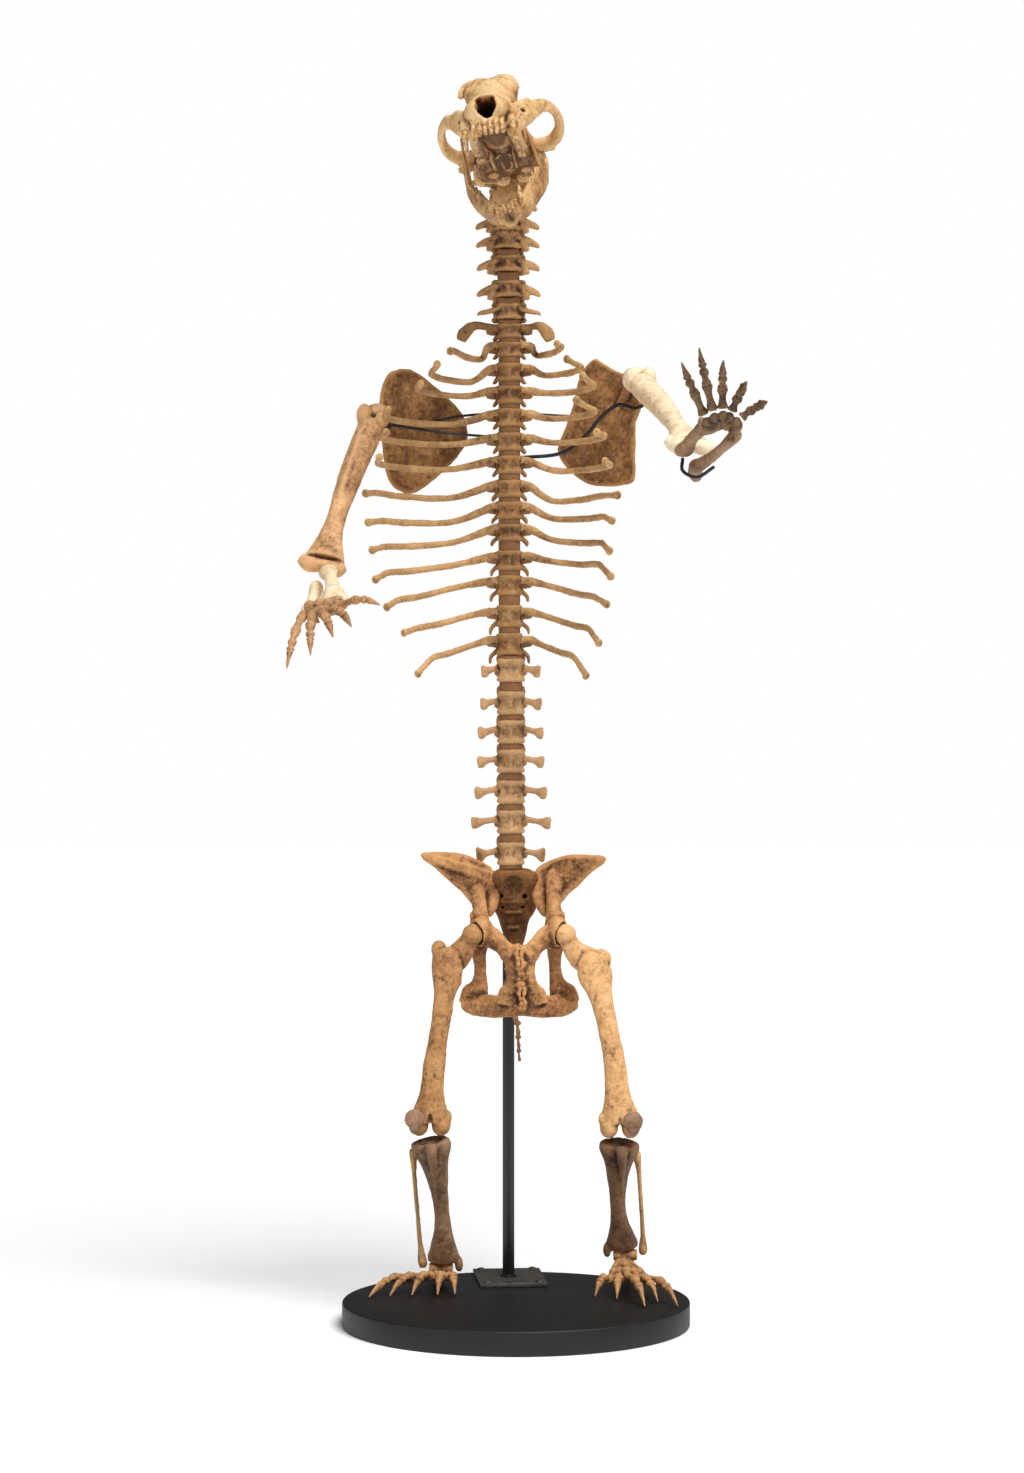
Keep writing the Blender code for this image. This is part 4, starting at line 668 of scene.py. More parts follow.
# Fossil enamel: cream with brown growth streaks, satin
enamel, tree, shader = plain_finish("fossil_enamel", "D2A468", 0.38)
where = add_node(tree, "ShaderNodeTexCoord")
streaks = add_node(tree, "ShaderNodeTexNoise", {"Scale": 1 / 0.007, "Detail": 5.0, "Roughness": 0.6},
                   {"Vector": (where, "Object")})
tone = add_node(tree, "ShaderNodeValToRGB", {}, {"Fac": (streaks, "Fac")})
tone.color_ramp.elements[0].position = 0.34
tone.color_ramp.elements[0].color = linear("8A5E34")
tone.color_ramp.elements[1].position = 0.58
tone.color_ramp.elements[1].color = linear("E4BD86")
tone.color_ramp.elements.new(0.47).color = linear("B98850")
tree.links.new(tone.outputs["Color"], shader.inputs["Base Color"])
streak_bump = add_node(tree, "ShaderNodeBump", {"Strength": 0.3, "Distance": 0.0005},
                       {"Height": (streaks, "Fac")})
tree.links.new(streak_bump.outputs["Normal"], shader.inputs["Normal"])

TEETH_RELIEF = ((0.004, 0.0004),)
TOOTH_GRAIN = 0.001


def cheek_tooth(clay, centre, half_wide, half_long, height, up):
    """A low crown with blunt cusps in two rows."""
    x, y, z = centre
    loft(clay, ((x, y, z, half_wide * 0.8, half_long * 0.9),
                (x, y, z + up * height * 0.6, half_wide, half_long)), steps=3)
    cusps = max(2, round(half_long / 0.005))
    for side in (-1, 1):
        for k in range(cusps):
            along = (k + 0.5) / cusps * 2 - 1
            ball(clay, (x + side * half_wide * 0.5, y + along * half_long * 0.8, z + up * height * 0.62),
                 (half_wide * 0.45, half_long / cusps * 0.9, height * 0.38))


clay = bmesh.new()
for s in (-1, 1):
    loft(clay, ((0.0475, -0.396, 0.018, 0.007, 0.009), (0.0495, -0.404, 0.0, 0.007, 0.0088),
                (0.0505, -0.403, -0.016, 0.0058, 0.0072), (0.0505, -0.396, -0.031, 0.0036, 0.0046),
                (0.05, -0.391, -0.038, 0.0015, 0.002)), sides=18, s=s)
    for k in range(3):
        x = s * (0.0058 + 0.0116 * k)
        y = -0.425 + 0.004 * k
        loft(clay, ((x, y, 0.014, 0.0034, 0.0046), (x, y - 0.003, 0.003, 0.0044 + 0.0004 * k, 0.0042),
                    (x, y - 0.005, -0.011, 0.0042 + 0.0004 * k, 0.0024),
                    (x, y - 0.005, -0.016, 0.0028, 0.0012)), sides=12)
    for centre, half_wide, half_long in (((s * 0.0405, -0.3, 0.004), 0.0055, 0.008),
                                         ((s * 0.043, -0.268, 0.0), 0.007, 0.012),
                                         ((s * 0.043, -0.216, 0.0), 0.008, 0.02)):
        cheek_tooth(clay, centre, half_wide, half_long, 0.006, -1)
bone("upper_teeth", clay, TOOTH_GRAIN, ["skull"], enamel, fillet=1, relief=TEETH_RELIEF,
     place=head_place())

# ---------------------------------------------------------------- lower jaw
# Two halves meet at the chin, where the seam stays open as a dark line. The jaw is wired wide open at its
# two joints, and its thin rear blades stand up inside the cheek arches. Its own teeth are set in it.

JAW_JOINT = (-0.0112, -0.095, 0.028)
JAW_NARROW = 0.965
JAW_GAPE = math.radians(35)
JAW_ROLL = math.radians(-5.5)
JAW_LEVEL = 0.096
JAW_GRAIN = 0.0018


def jaw_place():
    """The skull's place, with the jaw dropped and rolled about its joint and drawn in a little."""
    turn, shift = head_place()
    drop = Euler((JAW_GAPE, JAW_ROLL, 0)).to_matrix()
    return turn @ drop @ Matrix.Diagonal((JAW_NARROW, 1, 1)), turn @ Vector(JAW_JOINT) + shift


clay = bmesh.new()
for s in (-1, 1):
    # Body of the jaw from the angle to the chin, then the chin's own thick seam
    loft(clay, ((0.084, 0.008, -0.052, 0.007, 0.012), (0.082, -0.025, -0.044, 0.008, 0.026),
                (0.075, -0.07, -0.04, 0.009, 0.028), (0.064, -0.12, -0.038, 0.011, 0.026),
                (0.05, -0.17, -0.036, 0.012, 0.025), (0.036, -0.215, -0.035, 0.013, 0.024),
                (0.024, -0.248, -0.03, 0.013, 0.022), (0.0135, -0.27, -0.022, 0.0125, 0.019),
                (0.0105, -0.284, -0.013, 0.01, 0.01)), sides=18, s=s)
    # Rear blade with the coronoid process, joint bar, angle hook, tooth row edge and canine socket
    loft(clay, ((0.08, -0.046, -0.04, 0.0065, 0.028), (0.078, -0.04, 0.0, 0.005, 0.026),
                (0.074, -0.033, 0.036, 0.0036, 0.017), (0.071, -0.022, 0.062, 0.0028, 0.01),
                (0.07, -0.014, 0.074, 0.002, 0.005)), sides=16, s=s)
    level = -JAW_LEVEL * s
    loft(clay, ((0.06, 0.0, level * 0.06 - 0.007, 0.0075, 0.006),
                (0.08, 0.0, level * 0.08 - 0.008, 0.0085, 0.008),
                (0.096, 0.0, level * 0.096 - 0.007, 0.0075, 0.006)), wide=(0, 1, 0), s=s)
    loft(clay, ((0.08, -0.012, -0.01, 0.008, 0.018), (0.084, 0.0, -0.034, 0.007, 0.018)), s=s)
    loft(clay, ((0.083, 0.0, -0.052, 0.007, 0.009), (0.082, 0.022, -0.058, 0.004, 0.006)), s=s)
    loft(clay, ((0.072, -0.085, -0.018, 0.008, 0.008), (0.058, -0.14, -0.017, 0.008, 0.009),
                (0.042, -0.195, -0.018, 0.007, 0.008)), s=s)
    loft(clay, ((0.026, -0.24, -0.024, 0.011, 0.014), (0.03, -0.258, -0.01, 0.01, 0.0115)), s=s)
    ball(clay, (s * 0.0095, -0.254, -0.034), (0.0098, 0.026, 0.0215))
    ball(clay, (s * 0.004, -0.262, -0.036), (0.012, 0.02, 0.021))
hollows = [((0, -0.476, -0.036), (0.2, 0.2, 0.2), (0, 1, 0)),
           ((0, -0.29, -0.034), (0.0022, 0.0155, 0.03), (0, 1, 0)),
           ((0, -0.24, 0.01), (0.016, 0.04, 0.022), (0, 0, -1))]
for s in (-1, 1):
    hollows += [((s * 0.0115, -0.3, -0.03), (0.0028, 0.018, 0.0026), (0, 1, 0)),
                ((s * 0.02, -0.29, -0.034), (0.002, 0.014, 0.002), (0, 1, 0)),
                ((s * 0.06, -0.19, -0.044), (0.01, 0.004, 0.003), (-s, 0, 0)),
                ((s * 0.092, -0.036, -0.018), (0.0125, 0.028, 0.032), (-s, 0, 0))]
jaw_bone = fossil_finish("brown_jaw_bone", "DDB27C", "B88A59", "7C512E", "3A2210", 0.55, 0.8)
# Darker in the open seam of the chin and in the hollow above it
CHIN_DARKENING = (((0, -0.284, -0.036), (0.012, 0.024, 0.034), 0.2),
             ((0, -0.23, -0.004), (0.03, 0.05, 0.016), 0.2))
bone("lower_jaw", clay, JAW_GRAIN, ["mandible"], jaw_bone, hollows, place=jaw_place(),
     silted=CHIN_DARKENING)

clay = bmesh.new()
for s in (-1, 1):
    tall = 1.0 if s > 0 else 0.35
    loft(clay, ((0.029, -0.256, -0.01, 0.007, 0.0085), (0.032, -0.262, -0.01 + 0.012 * tall, 0.0064, 0.0078),
                (0.0345, -0.26, -0.01 + 0.023 * tall, 0.0044, 0.0054),
                (0.0352, -0.254, -0.01 + 0.033 * tall, 0.0018, 0.0022)), sides=18, s=s)
    for k in range(3):
        x = s * (0.005 + 0.0078 * k)
        y = -0.284 + 0.0045 * k
        loft(clay, ((x, y, -0.016, 0.003, 0.0042), (x, y - 0.003, -0.006, 0.0037, 0.0036),
                    (x, y - 0.004, 0.001, 0.0034, 0.0022), (x, y - 0.004, 0.004, 0.0024, 0.0012)), sides=12)
    for centre, half_wide, half_long in (((s * 0.0575, -0.146, -0.014), 0.006, 0.013),
                                         ((s * 0.065, -0.117, -0.014), 0.0066, 0.013),
                                         ((s * 0.0715, -0.091, -0.014), 0.0058, 0.01)):
        cheek_tooth(clay, centre, half_wide, half_long, 0.009, 1)
bone("lower_teeth", clay, TOOTH_GRAIN, ["mandible"], enamel, fillet=1, relief=TEETH_RELIEF,
     place=jaw_place())

# ---------------------------------------------------------------- neck
# Seven vertebrae threaded on a steel rod, from the broad-winged atlas down. Their wings slope out and down
# on both sides, and each rests on a narrower filler disc.

MID_X = -0.014
SPINE_Y = 0.17
NECK_HEIGHTS = (2.412, 2.373, 2.335, 2.297, 2.249, 2.196, 2.149)
NECK_END = 2.1285
NECK_SPINES = (0.034, 0.06, 0.05, 0.052, 0.054, 0.06, 0.072)
# Place along the height of a vertebra's body, and how much of its full width it has there
DRUM = ((-0.5, 0.88), (-0.44, 0.99), (-0.36, 1.0), (-0.18, 0.84), (0.0, 0.78), (0.18, 0.84), (0.36, 1.0),
        (0.44, 0.99), (0.5, 0.88))
THROAT_GROOVES = 7
THROAT_PITCH = 0.0072
NECK_GRAIN = 0.0022
FILLER_GRAIN = 0.003


def column_place(z):
    """Centre of the column at a height: the neck runs forward to the head."""
    lift = max(0.0, z - 2.12)
    return Vector((MID_X - 0.02 * lift, SPINE_Y - 0.22 * lift, z))


def vertebra_body(clay, centre, half_width, half_depth, height):
    """Waisted drum with flared, eased end plates and a low keel down its front."""
    rows = [(0, 0, height * part, half_width * swell, half_depth * swell) for part, swell in DRUM]
    loft(clay, rows, sides=20, steps=2, origin=centre)
    loft(clay, ((0, -half_depth * 0.72, height * 0.4, 0.004, half_depth * 0.22),
                (0, -half_depth * 0.66, 0, 0.0028, half_depth * 0.24),
                (0, -half_depth * 0.72, -height * 0.4, 0.004, half_depth * 0.22)), origin=centre)


def arch(clay, centre, half):
    """Bony arch behind the cord; half holds its rows from the crown to one foot."""
    rows = [(-out, *rest) for out, *rest in half[:0:-1]] + list(half)
    loft(clay, rows, wide=(0, 1, 0), origin=centre)


# Filler discs: cork-brown putty between the bones, dull and granular
putty = fossil_finish("brown_filler", "8F663F", "774F2F", "55361F", "2E1C10", 0.35, 0.0)
brown_bone = fossil_finish("brown_vertebra_bone", "B48857", "845C38", "543622", "2A180D", 0.6, 0.6)
neck_bone = fossil_finish("hazel_neck_bone", "CC9F6C", "9C7148", "65452A", "35200F", 0.55, 0.6)


def filler(name, stack, half_width, half_depth, nodes):
    """Discs between neighbours in a stack of (centre, height) pairs."""
    clay = bmesh.new()
    for (upper, tall), (lower, low_tall) in zip(stack, stack[1:]):
        top = upper - Vector((0, 0, tall / 2 - 0.003))
        end = lower + Vector((0, 0, low_tall / 2 - 0.003))
        loft(clay, ((*top, half_width, half_depth),
                    (*top.lerp(end, 0.5), half_width * 1.04, half_depth * 1.04),
                    (*end, half_width, half_depth)), sides=20, steps=2)
    bone(name, clay, FILLER_GRAIN, nodes, putty, fillet=1, relief=((0.006, 0.0012),))


clay = bmesh.new()
neck_stack = []
neck_hollows = []
for level, height in enumerate(NECK_HEIGHTS):
    centre = column_place(height)
    x, y, z = centre
    tall = 0.035 if level else 0.024
    neck_stack.append((centre, tall))
    vertebra_body(clay, (x, y, z), 0.03 if level < 6 else 0.028, 0.02, tall)
    # Arch behind the cord, its roots, and the joint facets above and below it
    arch(clay, centre, ((0, 0.044, 0, 0.008, tall * 0.42), (0.022, 0.038, 0, 0.007, tall * 0.4),
                        (0.03, 0.02, 0, 0.007, tall * 0.42)))
    for s in (-1, 1):
        loft(clay, ((0.018, 0, 0, 0.006, tall * 0.32), (0.029, 0.024, 0, 0.006, tall * 0.36)),
             wide=(0.3, 1, 0), origin=(x, y, z), s=s)
        for rise in (-1, 1):
            ball(clay, (x + s * 0.028, y + 0.03 - rise * 0.004, z + rise * tall * 0.44),
                 (0.011, 0.006, 0.009), (rise * 0.7, 0, 0))
        if level == 0:
            # Atlas wing: a broad flat plate
            loft(clay, ((0.02, 0.006, 0.002, 0.018, 0.01), (0.052, 0.002, 0.003, 0.022, 0.007),
                        (0.074, -0.002, 0.003, 0.018, 0.005), (0.08, -0.002, 0.002, 0.01, 0.004)),
                 wide=(0, 1, 0.3), origin=(x, y, z), s=s)
        else:
            reach = 0.067 - 0.004 * (level == 1) + 0.002 * (level == 6)
            drop = 0.014 if level < 6 else 0.006
            blade = 0.009 if level < 6 else 0.006
            # Wing: a root in front of and behind the artery hole, one blade out and down, a hook under it
            loft(clay, ((0.022, -0.006, 0.006, 0.007, blade * 0.8),
                        (reach * 0.66, -0.006, -drop * 0.3, 0.006, blade),
                        (reach * 0.9, -0.006, -drop * 0.8, 0.005, blade * 0.8),
                        (reach, -0.006, -drop - 0.004, 0.004, blade * 0.4)), wide=(0, 1, 0),
                 origin=(x, y, z), s=s)
            loft(clay, ((0.024, 0.014, 0.002, 0.006, blade * 0.6),
                        (reach * 0.74, 0.004, -drop * 0.45, 0.005, blade * 0.7)), wide=(0, 1, 0),
                 origin=(x, y, z), s=s)
            if 1 < level < 6:
                loft(clay, ((0.034, -0.008, -0.004, 0.005, 0.008), (0.042, -0.012, -0.026, 0.004, 0.006)),
                     wide=(0, 1, 0), origin=(x, y, z), s=s)
    back = NECK_SPINES[level]
    tip = 0.012 if level != 1 else 0.026
    loft(clay, ((0, 0.034, 0, 0.006, tall * 0.4), (0, back * 0.92, -0.004, 0.0045, tip),
                (0, back + 0.006, -0.006, 0.006, tip * 0.8)), origin=(x, y, z))
    for s in (-1, 1):
        neck_hollows.append(((x + s * 0.009, y - 0.022, z + 0.002), (0.0026, 0.009, 0.0022), (0, 1, 0)))
# The atlas and the tooth of the axis fill the throat with one grooved front
throat = column_place(2.395) + Vector((-0.001, -0.006, 0))
ball(clay, throat, (0.031, 0.017, 0.034))
loft(clay, ((throat.x - 0.06, throat.y + 0.004, 2.424, 0.01, 0.014),
            (throat.x - 0.034, throat.y, 2.422, 0.013, 0.017),
            (throat.x, throat.y - 0.004, 2.418, 0.016, 0.022),
            (throat.x + 0.036, throat.y, 2.414, 0.013, 0.024),
            (throat.x + 0.072, throat.y + 0.004, 2.416, 0.01, 0.02)), wide=(0, 1, 0))
for k in range(THROAT_GROOVES):
    across = (k - (THROAT_GROOVES - 1) / 2) * THROAT_PITCH
    neck_hollows.append(((throat.x + across, throat.y - 0.018 + 14 * across**2, throat.z),
                         (0.0014, 0.0035, 0.03), (0, 1, 0)))
bone("neck_bones", clay, NECK_GRAIN, ["neck_vertebrae"], neck_bone, neck_hollows, fillet=4)
neck_end = column_place(NECK_END)
neck_stack.append((Vector((neck_end.x, neck_end.y, NECK_END - 0.003)), 0.0))
filler("neck_filler", neck_stack, 0.0235, 0.0165, ["neck_vertebrae"])

# ---------------------------------------------------------------- chest
# Fourteen chest vertebrae on the same rod, each with its pair of ribs. Each rib is pinned and glued with its
# head on the column; the breastbone is missing, so the ribs end in blunt, porous, sawn-looking tips.

THORAX_HEIGHTS = (2.107, 2.067, 2.018, 1.969, 1.92, 1.868, 1.819, 1.767, 1.72, 1.673, 1.613, 1.559, 1.493,
                  1.432)
LOIN_START = 1.402
# From the second rib down: reach to the side, fall to there, and the way out and down from there to the tip
RIBS_RIGHT = ((0.115, 0.028, 0.009, 0.009), (0.166, 0.028, -0.016, -0.009), (0.195, 0.01, -0.011, 0.004),
              (0.262, 0.022, -0.01, -0.002), (0.27, 0.014, -0.015, 0.002), (0.277, 0.019, -0.008, -0.001),
              (0.276, 0.029, 0.023, 0.012), (0.265, 0.041, 0.029, 0.013), (0.259, 0.048, 0.027, 0.016),
              (0.254, 0.043, 0.026, 0.022), (0.233, 0.047, 0.023, 0.021), (0.19, 0.04, 0.032, 0.015),
              (0.16, 0.042, 0.034, 0.038))
RIBS_LEFT = ((0.111, 0.02, -0.011, 0.001), (0.154, 0.014, -0.036, -0.006), (0.18, 0.004, -0.028, -0.008),
             (0.183, 0.01, -0.045, -0.01), (0.202, 0.01, -0.022, 0.006), (0.213, 0.022, -0.015, 0.005),
             (0.193, 0.035, 0.033, 0.01), (0.197, 0.032, 0.017, 0.019), (0.193, 0.04, 0.016, 0.026),
             (0.188, 0.026, 0.024, 0.033), (0.176, 0.04, 0.028, 0.022), (0.166, 0.042, 0.022, 0.035),
             (0.133, 0.039, 0.03, 0.046))
RIB_TIP_Y = (-0.01, -0.05, -0.07, -0.09, -0.1, -0.1, -0.09, -0.08, -0.07, -0.06, -0.05, -0.03, 0.0)

RIB_LIFT = 0.012
RIB_SIDE_Y = 0.066
BODY_SHARE = 0.8
TRUNK_GRAIN = 0.0023
RIB_GRAIN = 0.0021

rib_bone = fossil_finish("ochre_rib_bone", "D8AD78", "A87C4E", "6E4B2C", "402814", 0.55, 0.6)

clay = bmesh.new()
chest_stack = []
chest_hollows = []
for level, z in enumerate(THORAX_HEIGHTS):
    x, y = MID_X, SPINE_Y
    near = [abs(z - other) for other in THORAX_HEIGHTS if other != z]
    tall = BODY_SHARE * min(near)
    chest_stack.append((Vector((x, y, z)), tall))
    vertebra_body(clay, (x, y, z), 0.029, 0.02, tall)
    arch(clay, (x, y, z),
         ((0, 0.042, 0, 0.008, tall * 0.38), (0.018, 0.034, 0, 0.007, tall * 0.36),
          (0.022, 0.012, 0, 0.007, tall * 0.36)))
    length = 0.095 - 0.004 * level
    loft(clay, ((0, 0.035, 0, 0.006, 0.014), (0, 0.035 + length * 0.6, -length * 0.25, 0.0045, 0.01),
                (0, 0.035 + length, -length * 0.5, 0.0065, 0.009)), origin=(x, y, z))
    for s in (-1, 1):
        # Transverse process that meets the rib's shoulder
        loft(clay, ((0.02, 0.026, 0.002, 0.01, 0.01), (0.042, 0.034, 0.004, 0.008, 0.009),
                    (0.05, 0.034, 0.004, 0.006, 0.007)), wide=(0, 1, 0), origin=(x, y, z), s=s)
        chest_hollows.append(((x + s * 0.009, y - 0.022, z), (0.0024, 0.008, 0.0022), (0, 1, 0)))
        # Joint knob between this bone and the next, which grows into a hook toward the loin
        hook = 0.003 + 0.001 * max(0, level - 5)
        loft(clay, ((0.022, 0.018, -tall * 0.2, 0.006, 0.006),
                    (0.029 + hook, 0.016, -tall * 0.52, 0.005, 0.005),
                    (0.031 + hook, 0.014, -tall * 0.52 - hook * 1.5, 0.0025, 0.003)), wide=(0, 1, 0),
             origin=(x, y, z), s=s)
    if level == 0:
        for s, reach in ((-1, 0.104), (1, 0.088)):
            # Short broad first rib, which ends in a wide plate
            loft(clay, ((0.02, 0.004, 0.006, 0.01, 0.009), (0.046, 0.01, 0.01, 0.008, 0.008),
                        (reach * 0.72, 0.002, 0.012, 0.008, 0.01),
                        (reach * 0.92, -0.004, -0.004, 0.007, 0.015), (reach, -0.008, -0.022, 0.006, 0.011)),
                 wide=(0, 1, 0), origin=(x, y, z), s=s)
bone("chest_bones", clay, TRUNK_GRAIN, ["rib_cage_right", "rib_cage_left"], brown_bone,
     chest_hollows, fillet=4)
chest_stack.insert(0, (Vector((MID_X, SPINE_Y, NECK_END + 0.002)), 0.0))
chest_stack.append((Vector((MID_X, SPINE_Y, LOIN_START)), 0.0))
filler("chest_filler", chest_stack, 0.023, 0.0165, ["rib_cage_right", "rib_cage_left"])


def rib(clay, s, z, early, reach, fall, tip_out, tip_fall, tip_y):
    """Head on the column, shoulder, back to its angle, round to the side and forward to the blunt tip."""
    def at(out, y, drop):
        return (MID_X + s * out, y, z + RIB_LIFT - drop)

    loft(clay, ((*at(0.022, 0.172, 0.0), 0.01, 0.009), (*at(0.032, 0.18, 0.0), 0.007, 0.0068),
                (*at(0.048, 0.193, fall * early * 0.2), 0.0092, 0.0076),
                (*at(reach * 0.42 + 0.012, 0.208, fall * early), 0.007, 0.0058),
                (*at(reach * 0.82, 0.165, fall * (0.65 + 0.35 * early)), 0.0076, 0.0055),
                (*at(reach, RIB_SIDE_Y, fall), 0.0072, 0.0052),
                (*at(reach + tip_out * 0.5, (RIB_SIDE_Y + tip_y) / 2, fall + tip_fall * 0.45), 0.0068,
                 0.0054), (*at(reach + tip_out * 0.86, tip_y * 0.86 + RIB_SIDE_Y * 0.14,
                               fall + tip_fall * 0.84), 0.0076, 0.0064),
                (*at(reach + tip_out * 0.95, tip_y * 0.95 + RIB_SIDE_Y * 0.05, fall + tip_fall * 0.94),
                 0.0094, 0.0082), (*at(reach + tip_out, tip_y, fall + tip_fall), 0.0082, 0.007)),
         wide=(0, 0, 1), steps=6)


for name, s, rows in (("right_ribs", -1, RIBS_RIGHT), ("left_ribs", 1, RIBS_LEFT)):
    clay = bmesh.new()
    # A broad painted shade along the spine, where the ribs' heads run in beside the column
    rib_stain_and_shade = [((MID_X + s * 0.03, 0.185, 1.77), (0.075, 0.06, 0.45), 0.2)]
    for k, (z, row, tip_y) in enumerate(zip(THORAX_HEIGHTS[1:], rows, RIB_TIP_Y)):
        # The upper ribs dip at once and run level; the lower ones slope all the way
        early = min(1.0, max(0.28, 1.0 - 0.18 * (k - 6)))
        rib(clay, s, z, early, *row, tip_y)
        reach, fall, tip_out, tip_fall = row
        # Dark spongy bone shows in the broken tip, and the shaft is stained in bands
        rib_stain_and_shade.append(((MID_X + s * (reach + tip_out), tip_y - 0.004, z + RIB_LIFT - fall - tip_fall),
                         (0.013, 0.01, 0.013), 0.34))
        band = reach * (0.42 + 0.13 * (k % 3))
        rib_stain_and_shade.append(((MID_X + s * band, 0.19, z - fall), (0.03, 0.08, 0.03), 0.12))
    bone(name, clay, RIB_GRAIN, ["rib_cage_right" if s < 0 else "rib_cage_left"], rib_bone,
         fillet=2, relief=((0.022, 0.003), (0.006, 0.0012)), silted=rib_stain_and_shade)

# ---------------------------------------------------------------- loin
# Seven lumbar vertebrae with flat paddle-shaped processes at their sides. Those of the last one are broader
# and set back, where they pass over the sacrum.

LUMBAR_HEIGHTS = (1.376, 1.306, 1.244, 1.181, 1.115, 1.05, 0.982)
LUMBAR_WINGS = (0.064, 0.066, 0.071, 0.072, 0.078, 0.086, 0.075)
LUMBAR_TALL = 0.05
LOIN_END = 0.951
LOIN_PLACE = (MID_X + 0.003, SPINE_Y - 0.01)

loin_bone = fossil_finish("brown_loin_bone", "CFA274", "A0784F", "6A4B35", "3A261A", 0.5, 0.5)
clay = bmesh.new()
loin_stack = [(Vector((*LOIN_PLACE, LOIN_START + 0.001)), 0.0)]
loin_hollows = []
for z, wing in zip(LUMBAR_HEIGHTS, LUMBAR_WINGS):
    x, y = LOIN_PLACE
    tall = LUMBAR_TALL
    loin_stack.append((Vector((x, y, z)), tall))
    vertebra_body(clay, (x, y, z), 0.031, 0.024, tall)
    arch(clay, (x, y, z),
         ((0, 0.05, 0, 0.008, tall * 0.36), (0.02, 0.044, 0.002, 0.008, tall * 0.36),
          (0.024, 0.014, 0.004, 0.007, tall * 0.34)))
    loft(clay, ((0, 0.045, 0, 0.007, 0.018), (0, 0.088, -0.006, 0.005, 0.016),
                (0, 0.096, -0.007, 0.007, 0.014)), origin=(x, y, z))
    last = z == LUMBAR_HEIGHTS[-1]
    for s in (-1, 1):
        loft(clay, ((0.018, 0.006, 0.007, 0.006, 0.011), (wing * 0.5, 0.003, 0.004, 0.005, 0.0075),
                    (wing * 0.72, 0, 0.001, 0.004, 0.0085),
                    (wing - 0.008, -0.004 + 0.014 * last, -0.002, 0.004, 0.015 + 0.003 * last),
                    (wing, -0.006 + 0.02 * last, -0.003, 0.003, 0.0125 + 0.003 * last)), wide=(0, 1, 0),
             origin=(x, y, z), s=s)
        ball(clay, (x + s * 0.024, y + 0.04, z + tall * 0.5), (0.008, 0.008, 0.014))
        loin_hollows.append(((x + s * 0.01, y - 0.026, z), (0.0028, 0.01, 0.0026), (0, 1, 0)))
bone("loin_bones", clay, TRUNK_GRAIN, ["lumbar_vertebrae"], loin_bone, loin_hollows,
     fillet=4)
loin_stack.append((Vector((*LOIN_PLACE, LOIN_END)), 0.0))
filler("loin_filler", loin_stack, 0.0245, 0.019, ["lumbar_vertebrae"])

# ---------------------------------------------------------------- pelvis
# The sacrum is wedged between two hip bones, which meet in front at a raised, rough seam. Each hip bone is a
# flared wing above, a socket for the thigh at its waist, and a ring of bone below round an oval opening.

HIPS = ((-0.0915, 0.1, 0.812), (0.1056, 0.1, 0.812))
SOCKET_RADIUS = 0.0275
SEAM_KNOBS = 13
SACRUM_GRAIN = 0.002


def pelvis_x(z):
    """The pelvis leans a little: its middle plane moves to the left as it goes down."""
    return 0.004 + 0.06 * (0.83 - z)


def bone_plate(clay, outline, thick, surface):
    """Curved plate: a smooth closed outline of u, v points, laid on surface(u, v, depth)."""
    closed = smooth_rows([*outline, outline[0]], 5)[:-1]
    near = [clay.verts.new(surface(u, v, -thick / 2)) for u, v in closed]
    far = [clay.verts.new(surface(u, v, thick / 2)) for u, v in closed]
    caps = [clay.faces.new(near), clay.faces.new(far)]
    for k in range(len(closed)):
        after = (k + 1) % len(closed)
        clay.faces.new((near[k], near[after], far[after], far[k]))
    bmesh.ops.triangulate(clay, faces=caps)


orange_bone = fossil_finish("orange_pelvis_bone", "DDA56C", "A97549", "6A4529", "301A0C", 0.6, 0.8)
# The sacrum is darker than the hips: its own umber, darkened further as painted shade for the deep bowl
# between the hip bones
sacrum_bone = fossil_finish("umber_sacrum_bone", "94643A", "694322", "402611", "1E1006", 0.6, 0.6)

clay = bmesh.new()
loft(clay, ((-0.004, 0.155, 0.9495, 0.034, 0.02), (-0.004, 0.158, 0.936, 0.052, 0.025),
            (-0.003, 0.172, 0.905, 0.0555, 0.02), (-0.003, 0.184, 0.87, 0.05, 0.016),
            (-0.004, 0.192, 0.838, 0.034, 0.013), (-0.002, 0.198, 0.805, 0.025, 0.011),
            (0.0, 0.2, 0.778, 0.014, 0.009)), sides=24)
loft(clay, ((-0.004, 0.176, 0.935, 0.007, 0.022), (0.0, 0.204, 0.825, 0.005, 0.012)))
for z, out, depth in ((0.917, 0.026, 0.1505), (0.878, 0.024, 0.1665), (0.855, 0.018, 0.173),
                      (0.822, 0.014, 0.1835)):
    # Raised seams where the five sacral bones have grown together
    loft(clay, ((-0.006 - out, depth, z, 0.0032, 0.006), (-0.006, depth - 0.001, z, 0.0032, 0.006),
                (-0.006 + out, depth, z, 0.0032, 0.006)), wide=(0, 0, 1), steps=3)
sacrum_hollows = []
for z, out, size in ((0.891, 0.026, 0.0062), (0.866, 0.0215, 0.0046), (0.84, 0.0175, 0.005),
                     (0.805, 0.016, 0.004)):
    for s in (-1, 1):
        sacrum_hollows.append(((-0.007 + s * out, 0.166, z), (size, 0.016, size * 0.85), (0, 1, 0)))
sacrum_hollows.insert(0, ((-0.005, 0.118, 0.885), (0.046, 0.042, 0.056), (0, 1, 0)))
bone("sacrum_bone", clay, SACRUM_GRAIN, ["sacrum"], sacrum_bone, sacrum_hollows, fillet=4)


